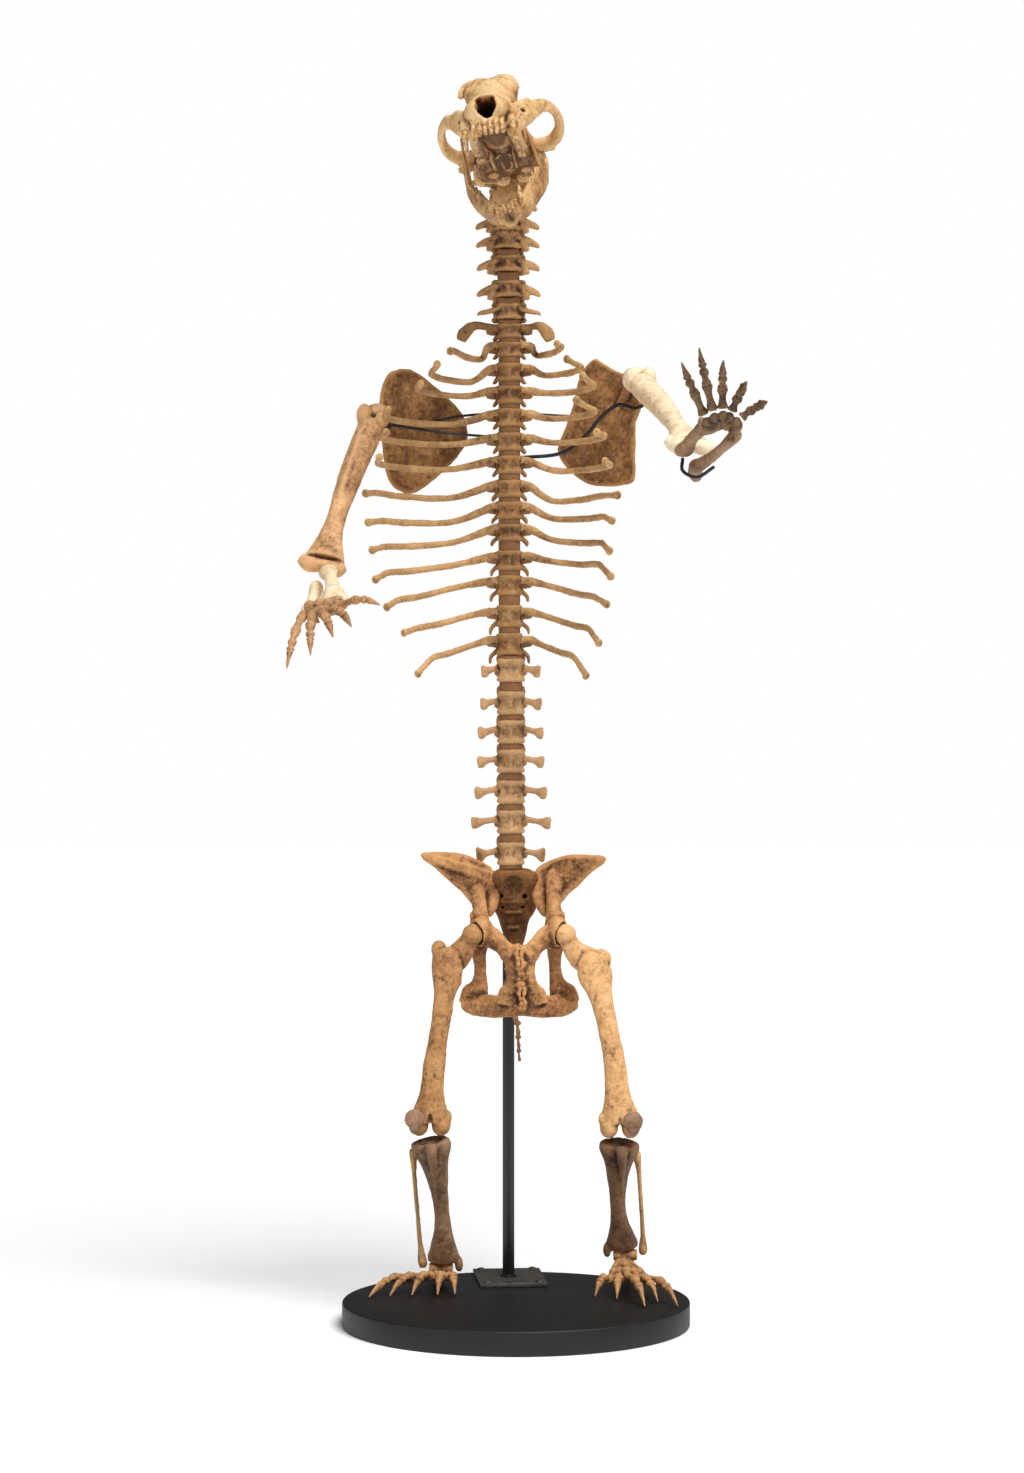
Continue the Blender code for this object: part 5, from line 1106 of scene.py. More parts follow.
def hip_bone(name, s, nodes):
    """One hip bone, laid out from the pelvis's middle plane; s is the side it is on."""
    def at(x, y, z):
        return (pelvis_x(z) + s * x, y, z)

    def wing(u, v, depth):
        rise = -s * 0.03 * max(0.0, u - 0.06)
        bowl = 0.012 * math.sin(math.pi * min(1.0, max(0.0, (u - 0.05) / 0.14)))
        return Vector(at(u, 0.164 - 0.5 * max(0.0, u - 0.062) + bowl + depth, v + rise))

    hip = Vector(HIPS[0 if s < 0 else 1])
    clay = bmesh.new()
    bone_plate(clay, ((0.034, 0.938), (0.056, 0.953), (0.084, 0.968), (0.112, 0.98), (0.147, 0.983),
                      (0.184, 0.984), (0.198, 0.978), (0.19, 0.968), (0.165, 0.955), (0.142, 0.932),
                      (0.119, 0.911), (0.1, 0.9), (0.094, 0.88), (0.094, 0.856), (0.076, 0.846),
                      (0.064, 0.862), (0.058, 0.88), (0.044, 0.896), (0.034, 0.915)), 0.016, wing)
    # Thick border of the wing, its joint with the sacrum, and the waist down to the socket
    loft(clay, ((*wing(0.052, 0.946, 0.002), 0.007, 0.012), (*wing(0.084, 0.964, 0.0), 0.0065, 0.012),
                (*wing(0.118, 0.976, 0.0), 0.0065, 0.011), (*wing(0.16, 0.978, 0.0), 0.0065, 0.01),
                (*wing(0.19, 0.977, 0.0), 0.006, 0.008)), wide=(0, 0, 1))
    loft(clay, ((*at(0.046, 0.17, 0.938), 0.018, 0.015), (*at(0.052, 0.168, 0.905), 0.02, 0.015),
                (*at(0.056, 0.164, 0.876), 0.018, 0.015), (*at(0.058, 0.16, 0.858), 0.011, 0.011),
                (*at(0.062, 0.158, 0.846), 0.004, 0.005)))
    loft(clay, ((*at(0.098, 0.16, 0.962), 0.016, 0.005), (*at(0.088, 0.155, 0.93), 0.021, 0.009),
                (*at(0.082, 0.149, 0.898), 0.0175, 0.012), (*at(0.079, 0.14, 0.868), 0.0155, 0.016),
                (*at(0.081, 0.13, 0.842), 0.0215, 0.02), (*at(0.08, 0.12, 0.816), 0.026, 0.024)))
    loft(clay, ((*wing(0.19, 0.972, 0.0), 0.006, 0.006), (*wing(0.16, 0.95, 0.0), 0.007, 0.007),
                (*wing(0.134, 0.925, 0.0), 0.008, 0.008), (*wing(0.112, 0.905, 0.0), 0.008, 0.009),
                (*at(0.094, 0.15, 0.885), 0.008, 0.01)), wide=(0, 0, 1))
    # Pubis to the seam, the plate beside it, ischium with its tuberosity, and the bar back to the seam
    loft(clay, ((*at(0.08, 0.112, 0.816), 0.025, 0.018), (*at(0.052, 0.096, 0.802), 0.0235, 0.013),
                (*at(0.034, 0.085, 0.786), 0.019, 0.011), (*at(0.015, 0.078, 0.77), 0.017, 0.01)),
         wide=(0, 0, 1))
    seam = ((0.05, 0.082, 0.79), (0.045, 0.084, 0.773), (0.035, 0.086, 0.757), (0.0315, 0.089, 0.735),
            (0.0325, 0.094, 0.714), (0.04, 0.099, 0.698), (0.052, 0.106, 0.684), (0.056, 0.111, 0.662))
    loft(clay, [(*at(edge / 2 - 0.002, y, z), edge / 2 + 0.002, 0.011) for edge, y, z in seam])
    lean = -0.006 * s
    loft(clay, ((*at(0.082 + lean * 0.3, 0.126, 0.815), 0.024, 0.02),
                (*at(0.082 + lean * 0.6, 0.134, 0.79), 0.0215, 0.017),
                (*at(0.081 + lean, 0.142, 0.77), 0.0165, 0.016),
                (*at(0.0805 + lean, 0.15, 0.737), 0.0134, 0.015),
                (*at(0.082 + lean, 0.154, 0.712), 0.016, 0.014),
                (*at(0.086 + lean, 0.156, 0.696), 0.0225, 0.014),
                (*at(0.094 + lean, 0.157, 0.68), 0.032, 0.013),
                (*at(0.1 + lean, 0.156, 0.658), 0.032, 0.011)))
    loft(clay, ((*at(0.124 + lean, 0.158, 0.664), 0.014, 0.009),
                (*at(0.102 + lean, 0.154, 0.659), 0.024, 0.012), (*at(0.075, 0.143, 0.656), 0.0255, 0.012),
                (*at(0.048, 0.129, 0.656), 0.025, 0.011), (*at(0.02, 0.112, 0.661), 0.0265, 0.011),
                (*at(-0.003, 0.108, 0.664), 0.0265, 0.011)), wide=(0, 0, 1))
    for k in range(SEAM_KNOBS):
        # Knobbly edge of the seam
        ball(clay, at(0.004 + 0.002 * math.sin(2.3 * k + s), 0.0675 + 0.0024 * k, 0.784 - 0.0108 * k),
             (0.0054, 0.005, 0.0048 + 0.0022 * (k % 2)))
    ball(clay, hip + Vector((-s * 0.018, 0.012, 0.006)), (0.025, 0.032, 0.034))
    ball(clay, at(0.094, 0.132, 0.85), (0.009, 0.012, 0.01))
    hollow = ((hip, (SOCKET_RADIUS, SOCKET_RADIUS, SOCKET_RADIUS), (-s * 0.9, 0.3, 0.1)),)
    # Painted shade over the lower ring round the opening and the lower part of the wing
    silted = ((at(0.06, 0.12, 0.705), (0.1, 0.11, 0.12), 0.15),
              (at(0.15, 0.12, 0.925), (0.06, 0.06, 0.036), 0.16))
    bone(name, clay, TRUNK_GRAIN, nodes, orange_bone, hollow, fillet=6, silted=silted)


hip_bone("right_hip_bone", -1, ["hip_bone_right"])
hip_bone("left_hip_bone", 1, ["hip_bone_left"])

# ---------------------------------------------------------------- tail
# Eight small tail bones on a wire, each waisted, and smaller toward the tip.

TAIL_BONES = 8
TAIL_TOP = 0.764
TAIL_DROP = 0.236
TAIL_GRAIN = 0.0012

clay = bmesh.new()
# Short root that carries the row from the end of the sacrum
loft(clay, ((-0.006, 0.204, 0.78, 0.008, 0.007), (-0.005, 0.2055, 0.768, 0.0072, 0.0062),
            (-0.004, 0.206, 0.758, 0.009, 0.0075)))
for k in range(TAIL_BONES):
    t = k / TAIL_BONES
    z = TAIL_TOP - TAIL_DROP * t
    size = 0.0112 - 0.0082 * t
    y = 0.206 + 0.006 * math.sin(math.pi * t)
    x = -0.004 + 0.012 * t - 0.014 * math.sin(math.pi * min(1.0, t / 0.55))
    loft(clay, ((0, 0, 0.002, size * 0.8, size * 0.7), (0, 0, -0.002, size, size * 0.85),
                (0, 0, -0.012, size * 0.55, size * 0.55), (0.0012, 0, -0.022, size * 0.9, size * 0.8),
                (0.0015, 0, -0.027, size * 0.7, size * 0.6)), origin=(x, y, z))
    for s in (-1, 1):
        ball(clay, (x + s * size * 0.9, y, z - 0.004), (size * 0.5, size * 0.4, 0.0035))
bone("tail_bones", clay, TAIL_GRAIN, ["tail"], brown_bone, fillet=2,
     relief=((0.006, 0.001),))

# ---------------------------------------------------------------- hind legs
# Thigh bones, kneecaps, shins and their thin outer bones, each drilled and pinned end to end. The thighs are
# ochre with dark flaked patches; the shins and kneecaps lay in other clay and are a colder brown.

FEMUR_HEAD_RADIUS = 0.0232
LONG_GRAIN = 0.0024
SMALL_GRAIN = 0.0017
KNEES = ((-0.182, 0.05, 0.397), (0.219, 0.01, 0.397))
ANKLES = ((-0.1555, 0.15, 0.108), (0.2285, 0.13, 0.141))

thigh_bones = {"right": fossil_finish("brown_thigh_bone", "C99762", "A27247", "694427", "361F11", 0.8, 0.9),
               "left": fossil_finish("ochre_thigh_bone", "ECBB84", "CE9A62", "92643A", "4A2E1A", 0.6, 0.9)}
shin_bones = {"right": fossil_finish("hazel_shin_bone", "A17F60", "74553E", "4C3323", "2A1A10", 0.55, 0.7),
              "left": fossil_finish("umber_shin_bone", "8C6B4E", "604532", "3E2A1C", "24160D", 0.55, 0.7)}
knee_bone = fossil_finish("grey_knee_bone", "A98468", "82624C", "5B4233", "33241B", 0.4, 0.4)

# Shaft from the shoulder under the neck to the knee: x, z and half width; neck: x, z and half height
FEMUR_SHAFTS = {"right": ((-0.157, 0.78, 0.021), (-0.15, 0.762, 0.029), (-0.1455, 0.738, 0.033),
                          (-0.147, 0.712, 0.0285), (-0.151, 0.69, 0.0238), (-0.155, 0.655, 0.0214),
                          (-0.164, 0.6, 0.0205), (-0.172, 0.545, 0.0228), (-0.178, 0.48, 0.0265),
                          (-0.181, 0.443, 0.036), (-0.182, 0.418, 0.041)),
                "left": ((0.175, 0.77, 0.022), (0.169, 0.756, 0.03), (0.166, 0.74, 0.0365),
                         (0.172, 0.714, 0.0345), (0.178, 0.69, 0.0262), (0.1865, 0.655, 0.0224),
                         (0.198, 0.6, 0.0218), (0.208, 0.545, 0.024), (0.214, 0.48, 0.0275),
                         (0.218, 0.443, 0.037), (0.219, 0.418, 0.041))}
FEMUR_NECKS = {"right": ((-0.104, 0.793, 0.021), (-0.118, 0.772, 0.0265), (-0.132, 0.752, 0.0255),
                         (-0.147, 0.752, 0.028)),
               "left": ((0.119, 0.786, 0.021), (0.132, 0.77, 0.0265), (0.147, 0.759, 0.03),
                        (0.163, 0.752, 0.03))}
# Outer knob beside the neck: x and z, then its half width and half height
TROCHANTERS = {"right": ((-0.164, 0.779), (0.0165, 0.021)), "left": ((0.181, 0.757), (0.023, 0.025))}


def femur(name, label, s, hip, knee, node):
    """Thigh bone: shaft, neck with its ball, outer knob with the crest under it, and two knee rollers."""
    hip = Vector(hip)
    back, front = hip.y - 0.006, knee[1] + 0.008
    clay = bmesh.new()
    rows = []
    for k, (x, z, half) in enumerate(FEMUR_SHAFTS[label]):
        t = (0.79 - z) / 0.38
        depth = 0.0185 + 0.0075 * max(0.0, t - 0.75) / 0.25
        rows.append((x, back + (front - back) * t - 0.02 * math.sin(math.pi * min(t, 1.0)), z, half, depth))
    loft(clay, rows, sides=20)
    (x, z), (half, tall) = TROCHANTERS[label]
    knob = Vector((x, hip.y + 0.002, z))
    ball(clay, hip, (FEMUR_HEAD_RADIUS, FEMUR_HEAD_RADIUS, FEMUR_HEAD_RADIUS))
    neck = [(*hip, 0.017, 0.016)] + [(x, hip.y + 0.001, z, up, 0.0145) for x, z, up in FEMUR_NECKS[label]]
    loft(clay, neck, wide=(0, 0, 1))
    ball(clay, knob, (half, 0.018, tall))
    outer = FEMUR_SHAFTS[label][2]
    loft(clay, ((knob.x + s * 0.006, knob.y, knob.z - 0.006, 0.007, 0.012),
                (outer[0] + s * 0.028, knob.y - 0.004, outer[1], 0.007, 0.01),
                (rows[4][0] + s * 0.018, rows[4][1] - 0.004, rows[4][2], 0.005, 0.008)))
    ball(clay, (rows[3][0] - s * 0.022, rows[3][1] + 0.006, rows[3][2] + 0.004), (0.0095, 0.009, 0.016))
    for side in (-1, 1):
        ball(clay, Vector(knee) + Vector((side * 0.023, 0.014, 0.014)), (0.02, 0.029, 0.024))
        ball(clay, Vector(knee) + Vector((side * 0.038, 0.01, 0.03)), (0.008, 0.012, 0.014))
    hollows = [(Vector(knee) + Vector((0, -0.018, 0.012)), (0.008, 0.01, 0.03), (0, 1, 0)),
               (Vector(knee) + Vector((0, 0.03, -0.006)), (0.009, 0.03, 0.022), (0, -1, 0.3)),
               (knob + Vector((-s * 0.016, -0.016, 0.004)), (0.01, 0.008, 0.009), (0, 1, -0.2))]
    for k in range(3, 7):
        # Long flaked split down the inner front of the shaft
        x, y, z, half, depth = rows[k]
        hollows.append(((x - s * (half * 0.45 + 0.002 * (k % 2)), y - depth, z), (0.0032, 0.0045, 0.03),
                        (0, 1, 0)))
    bone(name, clay, LONG_GRAIN, [node], thigh_bones[label], hollows, fillet=4,
         relief=((0.04, 0.0036), (0.01, 0.0014)))


def patella(name, knee, node):
    """Kneecap, in front of the knee and a little to one side."""
    clay = bmesh.new()
    middle = Vector(knee) + Vector((-0.032 if knee[0] < 0 else 0.026, -0.0255, 0.03))
    ball(clay, middle, (0.0215, 0.011, 0.0215))
    ball(clay, middle - Vector((0, 0, 0.014)), (0.013, 0.009, 0.018))
    bone(name, clay, SMALL_GRAIN, [node], knee_bone, fillet=4,
         relief=((0.012, 0.003), (0.004, 0.001)))


def shaft_rows(start, end, bow, widths):
    """Rows from joint to joint, bowed in between; each width is a place, half width and half depth."""
    rows = []
    for t, half, deep in widths:
        swing = math.sin(math.pi * t)
        rows.append((*between(start, end, t, [part * swing for part in bow]), half, deep))
    return rows


def tibia(name, s, knee, ankle, node):
    """Shin bone with its front crest and inner ankle knob."""
    top = Vector(knee) + Vector((0, 0.014, -0.02))
    low = Vector(ankle)
    clay = bmesh.new()
    widths = ((0, 0.04, 0.024), (0.025, 0.043, 0.027), (0.07, 0.042, 0.03), (0.16, 0.032, 0.028),
              (0.3, 0.0235, 0.025), (0.52, 0.017, 0.019), (0.72, 0.0185, 0.018), (0.86, 0.027, 0.02),
              (0.95, 0.034, 0.021), (1.0, 0.033, 0.02))
    loft(clay, shaft_rows(top, low, (-s * 0.008, 0, 0), widths), sides=20)
    # Crest down the front, and the inner ankle knob
    loft(clay, ((*(top + Vector((0.004, -0.02, -0.006))), 0.016, 0.01),
                (*(top + Vector((0.004, -0.026, -0.026))), 0.011, 0.011),
                (*between(top, low, 0.3, (0.002, -0.02, 0)), 0.006, 0.01),
                (*between(top, low, 0.48, (0, -0.012, 0)), 0.005, 0.008)))
    ball(clay, low + Vector((-s * 0.033, 0, -0.006)), (0.009, 0.014, 0.017))
    hollow = ((top + Vector((0.0, -0.01, 0.012)), (0.016, 0.014, 0.012), (0, 0, -1)),)
    bone(name, clay, LONG_GRAIN, [node], shin_bones[name.split("_")[0]], hollow, fillet=4)


def fibula(name, s, knee, ankle, node):
    """Thin outer bone beside the shin."""
    top = Vector(knee) + Vector((s * 0.037, 0.046, -0.044))
    low = Vector(ankle) + Vector((s * 0.044, 0.006, -0.014))
    clay = bmesh.new()
    widths = ((0, 0.0085, 0.01), (0.06, 0.0085, 0.01), (0.14, 0.006, 0.007), (0.25, 0.005, 0.0055),
              (0.75, 0.005, 0.0055), (0.88, 0.0075, 0.008), (0.95, 0.0095, 0.012), (1.0, 0.008, 0.01))
    loft(clay, shaft_rows(top, low, (s * 0.003, 0, 0), widths))
    bone(name, clay, SMALL_GRAIN, [node], rib_bone, fillet=2,
         relief=((0.02, 0.0024), (0.005, 0.0008)))


for s, label, hip, knee, ankle in zip((-1, 1), ("right", "left"), HIPS, KNEES, ANKLES):
    femur(label + "_thigh_bone", label, s, hip, knee, "femur_" + label)
    patella(label + "_kneecap", knee, "patella_" + label)
    tibia(label + "_shin_bone", s, knee, ankle, "tibia_" + label)
    fibula(label + "_calf_bone", s, knee, ankle, "fibula_" + label)

# ---------------------------------------------------------------- hind feet
# The bear stands flat on its soles. Ankle bones, five middle-foot bones, their toe bones and claw cores lie
# on the base a millimetre or two apart, wired together from below.

TOE_HALF = 0.0095
TOE_PITCH = 0.0218
TOE_CLAW = 0.3
DIGIT_GRAIN = 0.0014


def digit_line(base, tip, arch):
    """The arched line of a digit from its root to its claw tip."""
    base, tip = Vector(base), Vector(tip)
    bend = base.lerp(tip, 0.5) + Vector(arch)
    return lambda t: base * (1 - t) ** 2 + bend * 2 * t * (1 - t) + tip * t**2


def digit(clay, line, thick, claw):
    """Four separate bones in a row: middle bone, two finger bones and the claw core."""
    joints = (0.0, 0.42, 0.62, 1 - claw)
    for k, (t0, t1) in enumerate(zip(joints, joints[1:])):
        size = thick * (1 - 0.09 * k)
        rows = []
        for part, swell in ((0.0, 0.86), (0.05, 1.12), (0.15, 1.06), (0.3, 0.8), (0.58, 0.72), (0.8, 0.98),
                            (0.9, 1.14), (0.985, 0.88)):
            rows.append((*line(t0 + (t1 - t0) * part), size * swell, size * swell * 0.92))
        loft(clay, rows, wide=(0.9, 0.1, 0.2), sides=12, steps=2)
    rows = []
    for part, swell in ((0.02, 0.8), (0.1, 1.1), (0.25, 0.98), (0.45, 0.72), (0.7, 0.52), (0.9, 0.32),
                        (1.0, 0.18)):
        rows.append((*line(1 - claw * (1 - part)), thick * swell * 0.62, thick * swell))
    loft(clay, rows, wide=(0.9, 0.1, 0.2), sides=12, steps=2)


def root_ball(clay, line, thick, straight=0.0):
    """The wrist or ankle bone that carries one digit, close behind the digit's root."""
    back = (line(0.0) - line(0.02)).normalized().lerp(Vector((0, 1, 0)), straight)
    centre = line(0.0) + back * (thick * 1.45)
    ball(clay, centre, (thick, thick, thick))
    return centre


SMALL_RELIEF = ((0.01, 0.002), (0.003, 0.0007))
foot_bone = fossil_finish("ochre_foot_bone", "CC9B68", "9C7148", "5E4028", "2F1D10", 0.45, 0.3)


def ankle(name, s, place, lines, node):
    """Ankle bones: pulley, heel, and a small bone behind each toe."""
    x, y, z = place
    clay = bmesh.new()
    # Pulley under the shin: two rollers side by side
    loft(clay, ((x - s * 0.02, y, z - 0.0165, 0.012, 0.011), (x - s * 0.01, y, z - 0.0165, 0.014, 0.013),
                (x + s * 0.004, y, z - 0.018, 0.011, 0.01), (x + s * 0.02, y, z - 0.0165, 0.014, 0.013),
                (x + s * 0.031, y, z - 0.0165, 0.012, 0.011)), wide=(0, 1, 0))
    heel = Vector((x + s * 0.014, y + 0.07, BASE_HEIGHT + 0.0212))
    loft(clay, ((x + s * 0.004, y + 0.004, z - 0.02, 0.018, 0.014),
                (*between((x, y, z - 0.024), heel, 0.5), 0.015, 0.016), (*heel, 0.016, 0.016)))
    ball(clay, heel, (0.0175, 0.018, 0.02))
    for line in lines:
        centre = root_ball(clay, line, TOE_HALF, straight=0.8)
        loft(clay, ((x, y - 0.002, z - 0.026, 0.014, 0.01),
                    (*(centre + Vector((0, 0.003, -0.002))), 0.0075, 0.0075)), wide=(1, 0.2, 0))
        middle = Vector((x, y - 0.002, z - 0.026)).lerp(centre, 0.62)
        ball(clay, middle, (0.0115, 0.0105, 0.0105))
    bone(name, clay, SMALL_GRAIN, [node], foot_bone, fillet=2, relief=SMALL_RELIEF)


def hind_foot(label, s, place, tips, row_centre):
    """Ankle and five toes, from the row of their roots to their claw tips."""
    lines = []
    for k, tip in enumerate(tips):
        base = Vector(row_centre) + Vector((s * (k - 2) * TOE_PITCH, 0.005 * abs(k - 2),
                                            -0.003 * abs(k - 2)))
        lines.append(digit_line(base, (*tip, BASE_HEIGHT + 0.0045), (0, 0, 0.04)))
    ankle(label + "_ankle_bones", s, place, lines, "tarsus_" + label)
    for k, line in enumerate(lines):
        clay = bmesh.new()
        digit(clay, line, TOE_HALF, TOE_CLAW)
        bone(f"{label}_toe_{k + 1}", clay, DIGIT_GRAIN, [f"toe_{label}_{k + 1}"], foot_bone,
             fillet=1, relief=SMALL_RELIEF)


hind_foot("right", -1, ANKLES[0],
          ((-0.129, 0.04), (-0.1655, 0.03), (-0.22, 0.028), (-0.266, 0.022), (-0.309, 0.004)),
          (-0.181, 0.1, 0.082))
hind_foot("left", 1, ANKLES[1],
          ((0.1662, 0.011), (0.2117, -0.013), (0.2667, -0.102), (0.296, -0.048), (0.335, -0.102)),
          (0.24, 0.06, 0.086))

# ---------------------------------------------------------------- shoulders and arms
# The blades hang on rods beside the chest, their dished faces forward and a ridge behind. The left upper arm
# and the right forearm are the best kept bones of all, pale and dense; the left forearm is browner.

BLADE_THICK = 0.0065
FOREARM_GRAIN = 0.0019
FOREARM_RELIEF = ((0.025, 0.0026), (0.006, 0.0008))
SHOULDERS = ((-0.301, 0.11, 1.914), (0.261, 0.11, 1.992))
ELBOWS = ((-0.403, -0.08, 1.584), (0.351, -0.27, 1.818))
WRISTS = ((-0.386, -0.36, 1.496), (0.396, -0.55, 1.829))

blade_bone = fossil_finish("brown_blade_bone", "C8955E", "946840", "64432A", "34200F", 0.26, 0.6)
arm_bone = fossil_finish("ochre_arm_bone", "E8B782", "BD8E62", "7E583A", "45301F", 0.55, 0.8)
cream_bone = fossil_finish("cream_arm_bone", "FFEDCC", "EBCB9E", "BA9266", "5F442D", 0.35, 0.6)
hazel_bone = fossil_finish("hazel_forearm_bone", "AD8A66", "866449", "553A27", "352316", 0.4, 0.4)


def scapula(name, s, outline, node):
    """Shoulder blade: a sloping plate with a thick rim, a socket, and a ridge behind."""
    def blade(u, v, depth):
        return Vector((s * u, 0.275 - 0.62 * (u - 0.11) + depth, v))

    clay = bmesh.new()
    bone_plate(clay, outline, BLADE_THICK, blade)
    rim = [(*blade(u, v, 0), 0.005, 0.005) for u, v in (*outline, outline[0])]
    loft(clay, rim, sides=8, steps=3)
    shoulder = SHOULDERS[0 if s < 0 else 1]
    socket = Vector(shoulder) + Vector((-s * 0.014, 0.049, 0.008))
    ball(clay, socket, (0.019, 0.017, 0.026))
    low_middle = blade(0.18, 1.815, 0.008)
    loft(clay, ((*low_middle, 0.005, 0.01), (*between(low_middle, socket, 0.5, (0, 0.02, 0)), 0.006, 0.016),
                (*(socket + Vector((s * 0.004, 0.014, 0.01))), 0.008, 0.01)), wide=(0, 1, 0.2))
    hollow = ((socket + Vector((s * 0.004, -0.02, 0)), (0.015, 0.01, 0.022), (0, 1, 0)),)
    bone(name, clay, TRUNK_GRAIN, [node], blade_bone, hollow, fillet=3)


def humerus(name, s, shoulder, elbow, lean, look, node):
    """Upper arm: shaft, three shoulder knobs, front ridge, and the elbow roller, which leans."""
    shoulder, elbow = Vector(shoulder), Vector(elbow)
    clay = bmesh.new()
    widths = ((0.04, 0.028, 0.026), (0.12, 0.029, 0.027), (0.3, 0.027, 0.026), (0.5, 0.0235, 0.023),
              (0.68, 0.0205, 0.019), (0.82, 0.028, 0.019), (0.94, 0.044, 0.018))
    loft(clay, shaft_rows(shoulder, elbow, (s * 0.008, 0, 0), widths), sides=20)
    ball(clay, shoulder + Vector((-s * 0.004, 0.006, 0.004)), (0.03, 0.026, 0.028))
    ball(clay, shoulder + Vector((s * 0.022, -0.012, 0.004)), (0.017, 0.02, 0.026))
    ball(clay, shoulder + Vector((-s * 0.014, -0.024, -0.006)), (0.012, 0.012, 0.016))
    # Ridge of the shoulder muscle down the front
    loft(clay, ((*between(shoulder, elbow, 0.1, (s * 0.018, -0.02, 0)), 0.008, 0.01),
                (*between(shoulder, elbow, 0.3, (s * 0.016, -0.02, 0)), 0.007, 0.011),
                (*between(shoulder, elbow, 0.5, (s * 0.014, -0.019, 0)), 0.009, 0.011),
                (*between(shoulder, elbow, 0.62, (s * 0.006, -0.008, 0)), 0.005, 0.005)))
    outer = elbow + Vector((s * 0.046, 0.004, lean + 0.012))
    inner = elbow + Vector((-s * 0.048, 0.004, 0.014 - lean))
    loft(clay, ((*outer, 0.009, 0.011), (*between(outer, inner, 0.2, (0, -0.002, -0.01)), 0.0185, 0.017),
                (*between(outer, inner, 0.5, (0, -0.002, -0.008)), 0.014, 0.0135),
                (*between(outer, inner, 0.78, (0, -0.002, -0.012)), 0.0195, 0.018), (*inner, 0.01, 0.011)),
         wide=(0, 1, 0))
    hollows = ((elbow + Vector((0, -0.022, 0.03)), (0.016, 0.014, 0.016), (0, 1, 0)),)
    bone(name, clay, LONG_GRAIN, [node], look, hollows, fillet=5,
         relief=((0.035, 0.0032), (0.009, 0.001)))


def forearm(label, s, elbow, wrist, inner_out, look):
    """Radius on the inner side and ulna on the outer side, whose elbow end hooks behind the joint."""
    elbow, wrist = Vector(elbow), Vector(wrist)
    near = elbow + Vector((-s * 0.014, -0.03, -0.01))
    far = wrist + Vector((-s * inner_out, -0.002, 0.006))
    clay = bmesh.new()
    widths = ((0, 0.0205, 0.015), (0.06, 0.0205, 0.015), (0.14, 0.0165, 0.013), (0.35, 0.0135, 0.0115),
              (0.65, 0.015, 0.013), (0.84, 0.023, 0.016), (0.95, 0.0255, 0.0165), (1.0, 0.023, 0.0145))
    loft(clay, shaft_rows(near, far, (0, 0, 0.01), widths), wide=(1, 0, 0.3), sides=16)
    ball(clay, far + Vector((-s * 0.018, 0.006, 0.006)), (0.008, 0.012, 0.011))
    bone(label + "_radius", clay, FOREARM_GRAIN, ["radius_" + label], look, fillet=4,
         relief=FOREARM_RELIEF)
    heel = elbow + Vector((s * 0.012, 0.03, -0.052))
    low = wrist + Vector((s * 0.03, 0.004, -0.01))
    notch = elbow + Vector((s * 0.01, -0.022, -0.042))
    clay = bmesh.new()
    rows = [(*heel, 0.013, 0.017), (*between(heel, notch, 0.2), 0.015, 0.019),
            (*between(heel, notch, 0.55), 0.012, 0.016), (*notch, 0.014, 0.016)]
    radii = ((0.15, 0.0135), (0.35, 0.0115), (0.65, 0.01), (0.88, 0.0125), (0.96, 0.013), (1.0, 0.0105))
    rows += shaft_rows(notch, low, (0, 0, -0.006), [(t, a, a) for t, a in radii])
    loft(clay, rows, wide=(1, 0, 0.3), sides=16)
    bone(label + "_ulna", clay, FOREARM_GRAIN, ["ulna_" + label], look, fillet=4,
         relief=FOREARM_RELIEF)


scapula("right_shoulder_blade", -1,
        ((0.248, 2.024), (0.215, 2.018), (0.16, 1.976), (0.122, 1.938), (0.11, 1.904), (0.116, 1.868),
         (0.16, 1.814), (0.218, 1.766), (0.246, 1.766), (0.272, 1.79), (0.284, 1.86), (0.29, 1.95),
         (0.276, 2.008)), "scapula_right")
scapula("left_shoulder_blade", 1,
        ((0.173, 2.052), (0.215, 2.022), (0.245, 2.006), (0.27, 1.955), (0.25, 1.905), (0.252, 1.85),
         (0.254, 1.8), (0.24, 1.782), (0.176, 1.782), (0.142, 1.798), (0.112, 1.826), (0.096, 1.862),
         (0.112, 1.908), (0.13, 1.96), (0.146, 2.024)), "scapula_left")
humerus("right_upper_arm", -1, SHOULDERS[0], ELBOWS[0], 0.01, arm_bone, "humerus_right")
humerus("left_upper_arm", 1, SHOULDERS[1], ELBOWS[1], -0.004, cream_bone, "humerus_left")
forearm("right", -1, ELBOWS[0], WRISTS[0], 0.026, cream_bone)
forearm("left", 1, ELBOWS[1], WRISTS[1], 0.02, hazel_bone)

# ---------------------------------------------------------------- hands
# Wrist bones, five palm bones, finger bones and claw cores, wired like the feet. The right hand droops, and
# the left is raised with its palm forward.

FINGER_HALF = 0.0095
FINGER_CLAW = 0.27
WRIST_GRAIN = 0.0016
hand_bones = {"right": fossil_finish("brown_hand_bone", "D0A070", "98724F", "5E422B", "33210F", 0.4, 0.3),
              "left": fossil_finish("umber_hand_bone", "90704F", "5E4736", "3A2A1B", "20150C", 0.4, 0.3)}


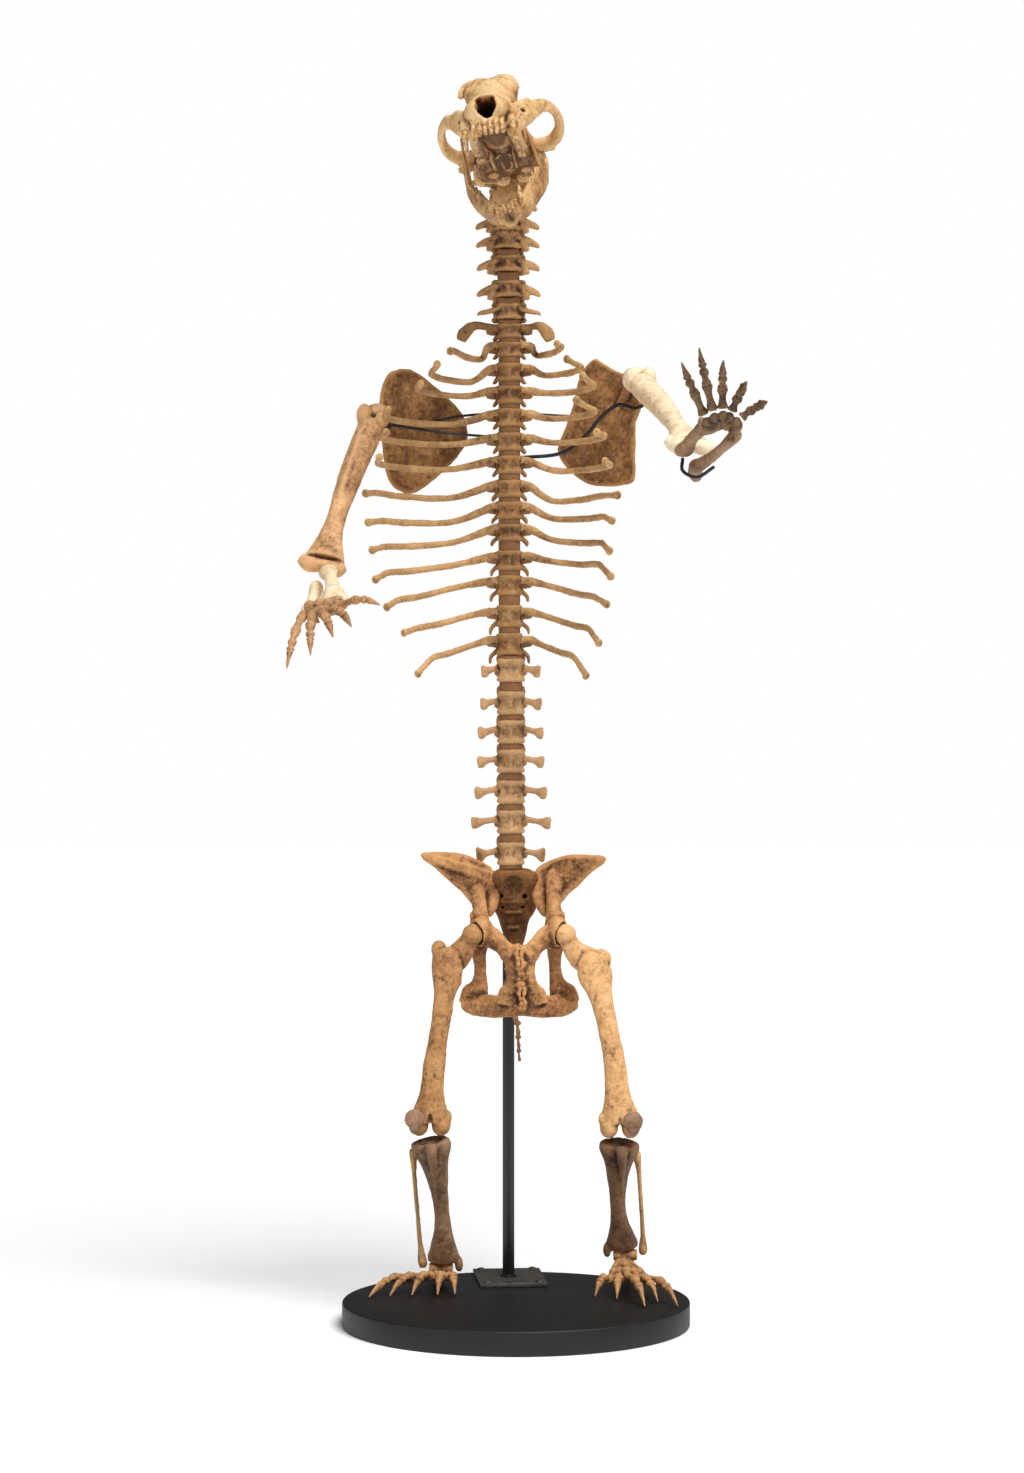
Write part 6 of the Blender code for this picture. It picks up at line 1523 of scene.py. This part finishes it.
def wrist(label, s, centre, lines):
    """Wrist bones: a row of four, one at each finger's root, and the long outer one."""
    c = Vector(centre)
    clay = bmesh.new()
    for k in range(4):
        out = (k - 1.5) * 0.018
        ball(clay, c + Vector((out, 0, 0.004 - abs(out) * 0.2)), (0.0125, 0.0135, 0.0145))
    for line in lines:
        root = root_ball(clay, line, FINGER_HALF)
        loft(clay, ((*c, 0.01, 0.01), (*root, 0.0075, 0.0075)), wide=(1, 0.2, 0.1))
    loft(clay, ((*(c + Vector((s * 0.022, 0.004, -0.006))), 0.009, 0.009),
                (*(c + Vector((s * 0.018, 0.006, -0.022))), 0.007, 0.007),
                (*(c + Vector((s * 0.016, 0.006, -0.034))), 0.009, 0.009)))
    bone(label + "_wrist_bones", clay, WRIST_GRAIN, ["carpus_" + label], hand_bones[label],
         fillet=2, relief=SMALL_RELIEF)


def hand(label, s, centre, bases, tips, arch):
    """Wrist and five fingers, each arched from its base to its claw tip."""
    lines = [digit_line(base, tip, arch) for base, tip in zip(bases, tips)]
    wrist(label, s, centre, lines)
    for k, line in enumerate(lines):
        clay = bmesh.new()
        digit(clay, line, FINGER_HALF, FINGER_CLAW)
        bone(f"{label}_finger_{k + 1}", clay, DIGIT_GRAIN, [f"finger_{label}_{k + 1}"], hand_bones[label],
             fillet=1, relief=SMALL_RELIEF)


hand("right", -1, (-0.382, -0.3785, 1.492),
     ((-0.346, -0.404, 1.492), (-0.362, -0.414, 1.482), (-0.383, -0.417, 1.476), (-0.404, -0.415, 1.472),
      (-0.423, -0.407, 1.47)),
     ((-0.268, -0.44, 1.492), (-0.321, -0.49, 1.447), (-0.356, -0.51, 1.426), (-0.4, -0.51, 1.391),
      (-0.447, -0.5, 1.366)), (0.0, -0.04, 0.022))
hand("left", 1, (0.396, -0.575, 1.834),
     ((0.36, -0.594, 1.85), (0.376, -0.602, 1.858), (0.395, -0.605, 1.862), (0.413, -0.602, 1.858),
      (0.432, -0.594, 1.846)),
     ((0.312, -0.675, 1.942), (0.344, -0.7, 1.967), (0.39, -0.7, 1.943), (0.435, -0.695, 1.903),
      (0.475, -0.675, 1.868)), (0.0, 0.034, 0.006))

# ---------------------------------------------------------------- holding rods
# Round steel rods, bent to the bones and painted black. Two run from the spine's rod to the shoulder blades,
# a stouter one reaches on to the raised arm, and a small U catches its elbow.

ROD_RADIUS = 0.0028
ARM_ROD_RADIUS = 0.004
BRACKET_RADIUS = 0.0035


def rod(name, points, radius, node):
    """A round rod bent smoothly through its points."""
    clay = bmesh.new()
    loft(clay, [(*point, radius, radius) for point in points], wide=(0.1, 0.2, 1), sides=16, steps=10)
    new_piece(name, clay).data.shade_smooth()
    own_piece(name, [node], satin_enamel)


rod("right_shoulder_rod",
    ((-0.034, 0.222, 1.936), (-0.12, 0.232, 1.93), (-0.205, 0.204, 1.912), (-0.262, 0.166, 1.904),
     (-0.29, 0.142, 1.886)), ROD_RADIUS, "stand_shoulder_rod_right")
rod("right_lower_rod",
    ((-0.034, 0.215, 1.88), (-0.055, 0.216, 1.884), (-0.12, 0.214, 1.889), (-0.205, 0.192, 1.897),
     (-0.272, 0.156, 1.904)), ROD_RADIUS, "stand_shoulder_rod_right")
rod("left_shoulder_rod", ((0.008, 0.222, 1.936), (0.08, 0.232, 1.932), (0.14, 0.222, 1.928)), ROD_RADIUS,
    "stand_shoulder_rod_left")
rod("left_arm_rod", ((0.008, 0.215, 1.838), (0.098, 0.215, 1.848), (0.152, 0.205, 1.886),
                     (0.182, 0.195, 1.922), (0.22, 0.168, 1.948), (0.256, 0.12, 1.936), (0.281, 0.09, 1.944),
                     (0.298, 0.05, 1.935), (0.328, -0.03, 1.887)), ARM_ROD_RADIUS, "stand_arm_rod_left")
rod("elbow_bracket", ((0.334, -0.306, 1.792), (0.334, -0.316, 1.766), (0.362, -0.335, 1.752),
                      (0.393, -0.362, 1.77)), BRACKET_RADIUS, "stand_elbow_bracket")
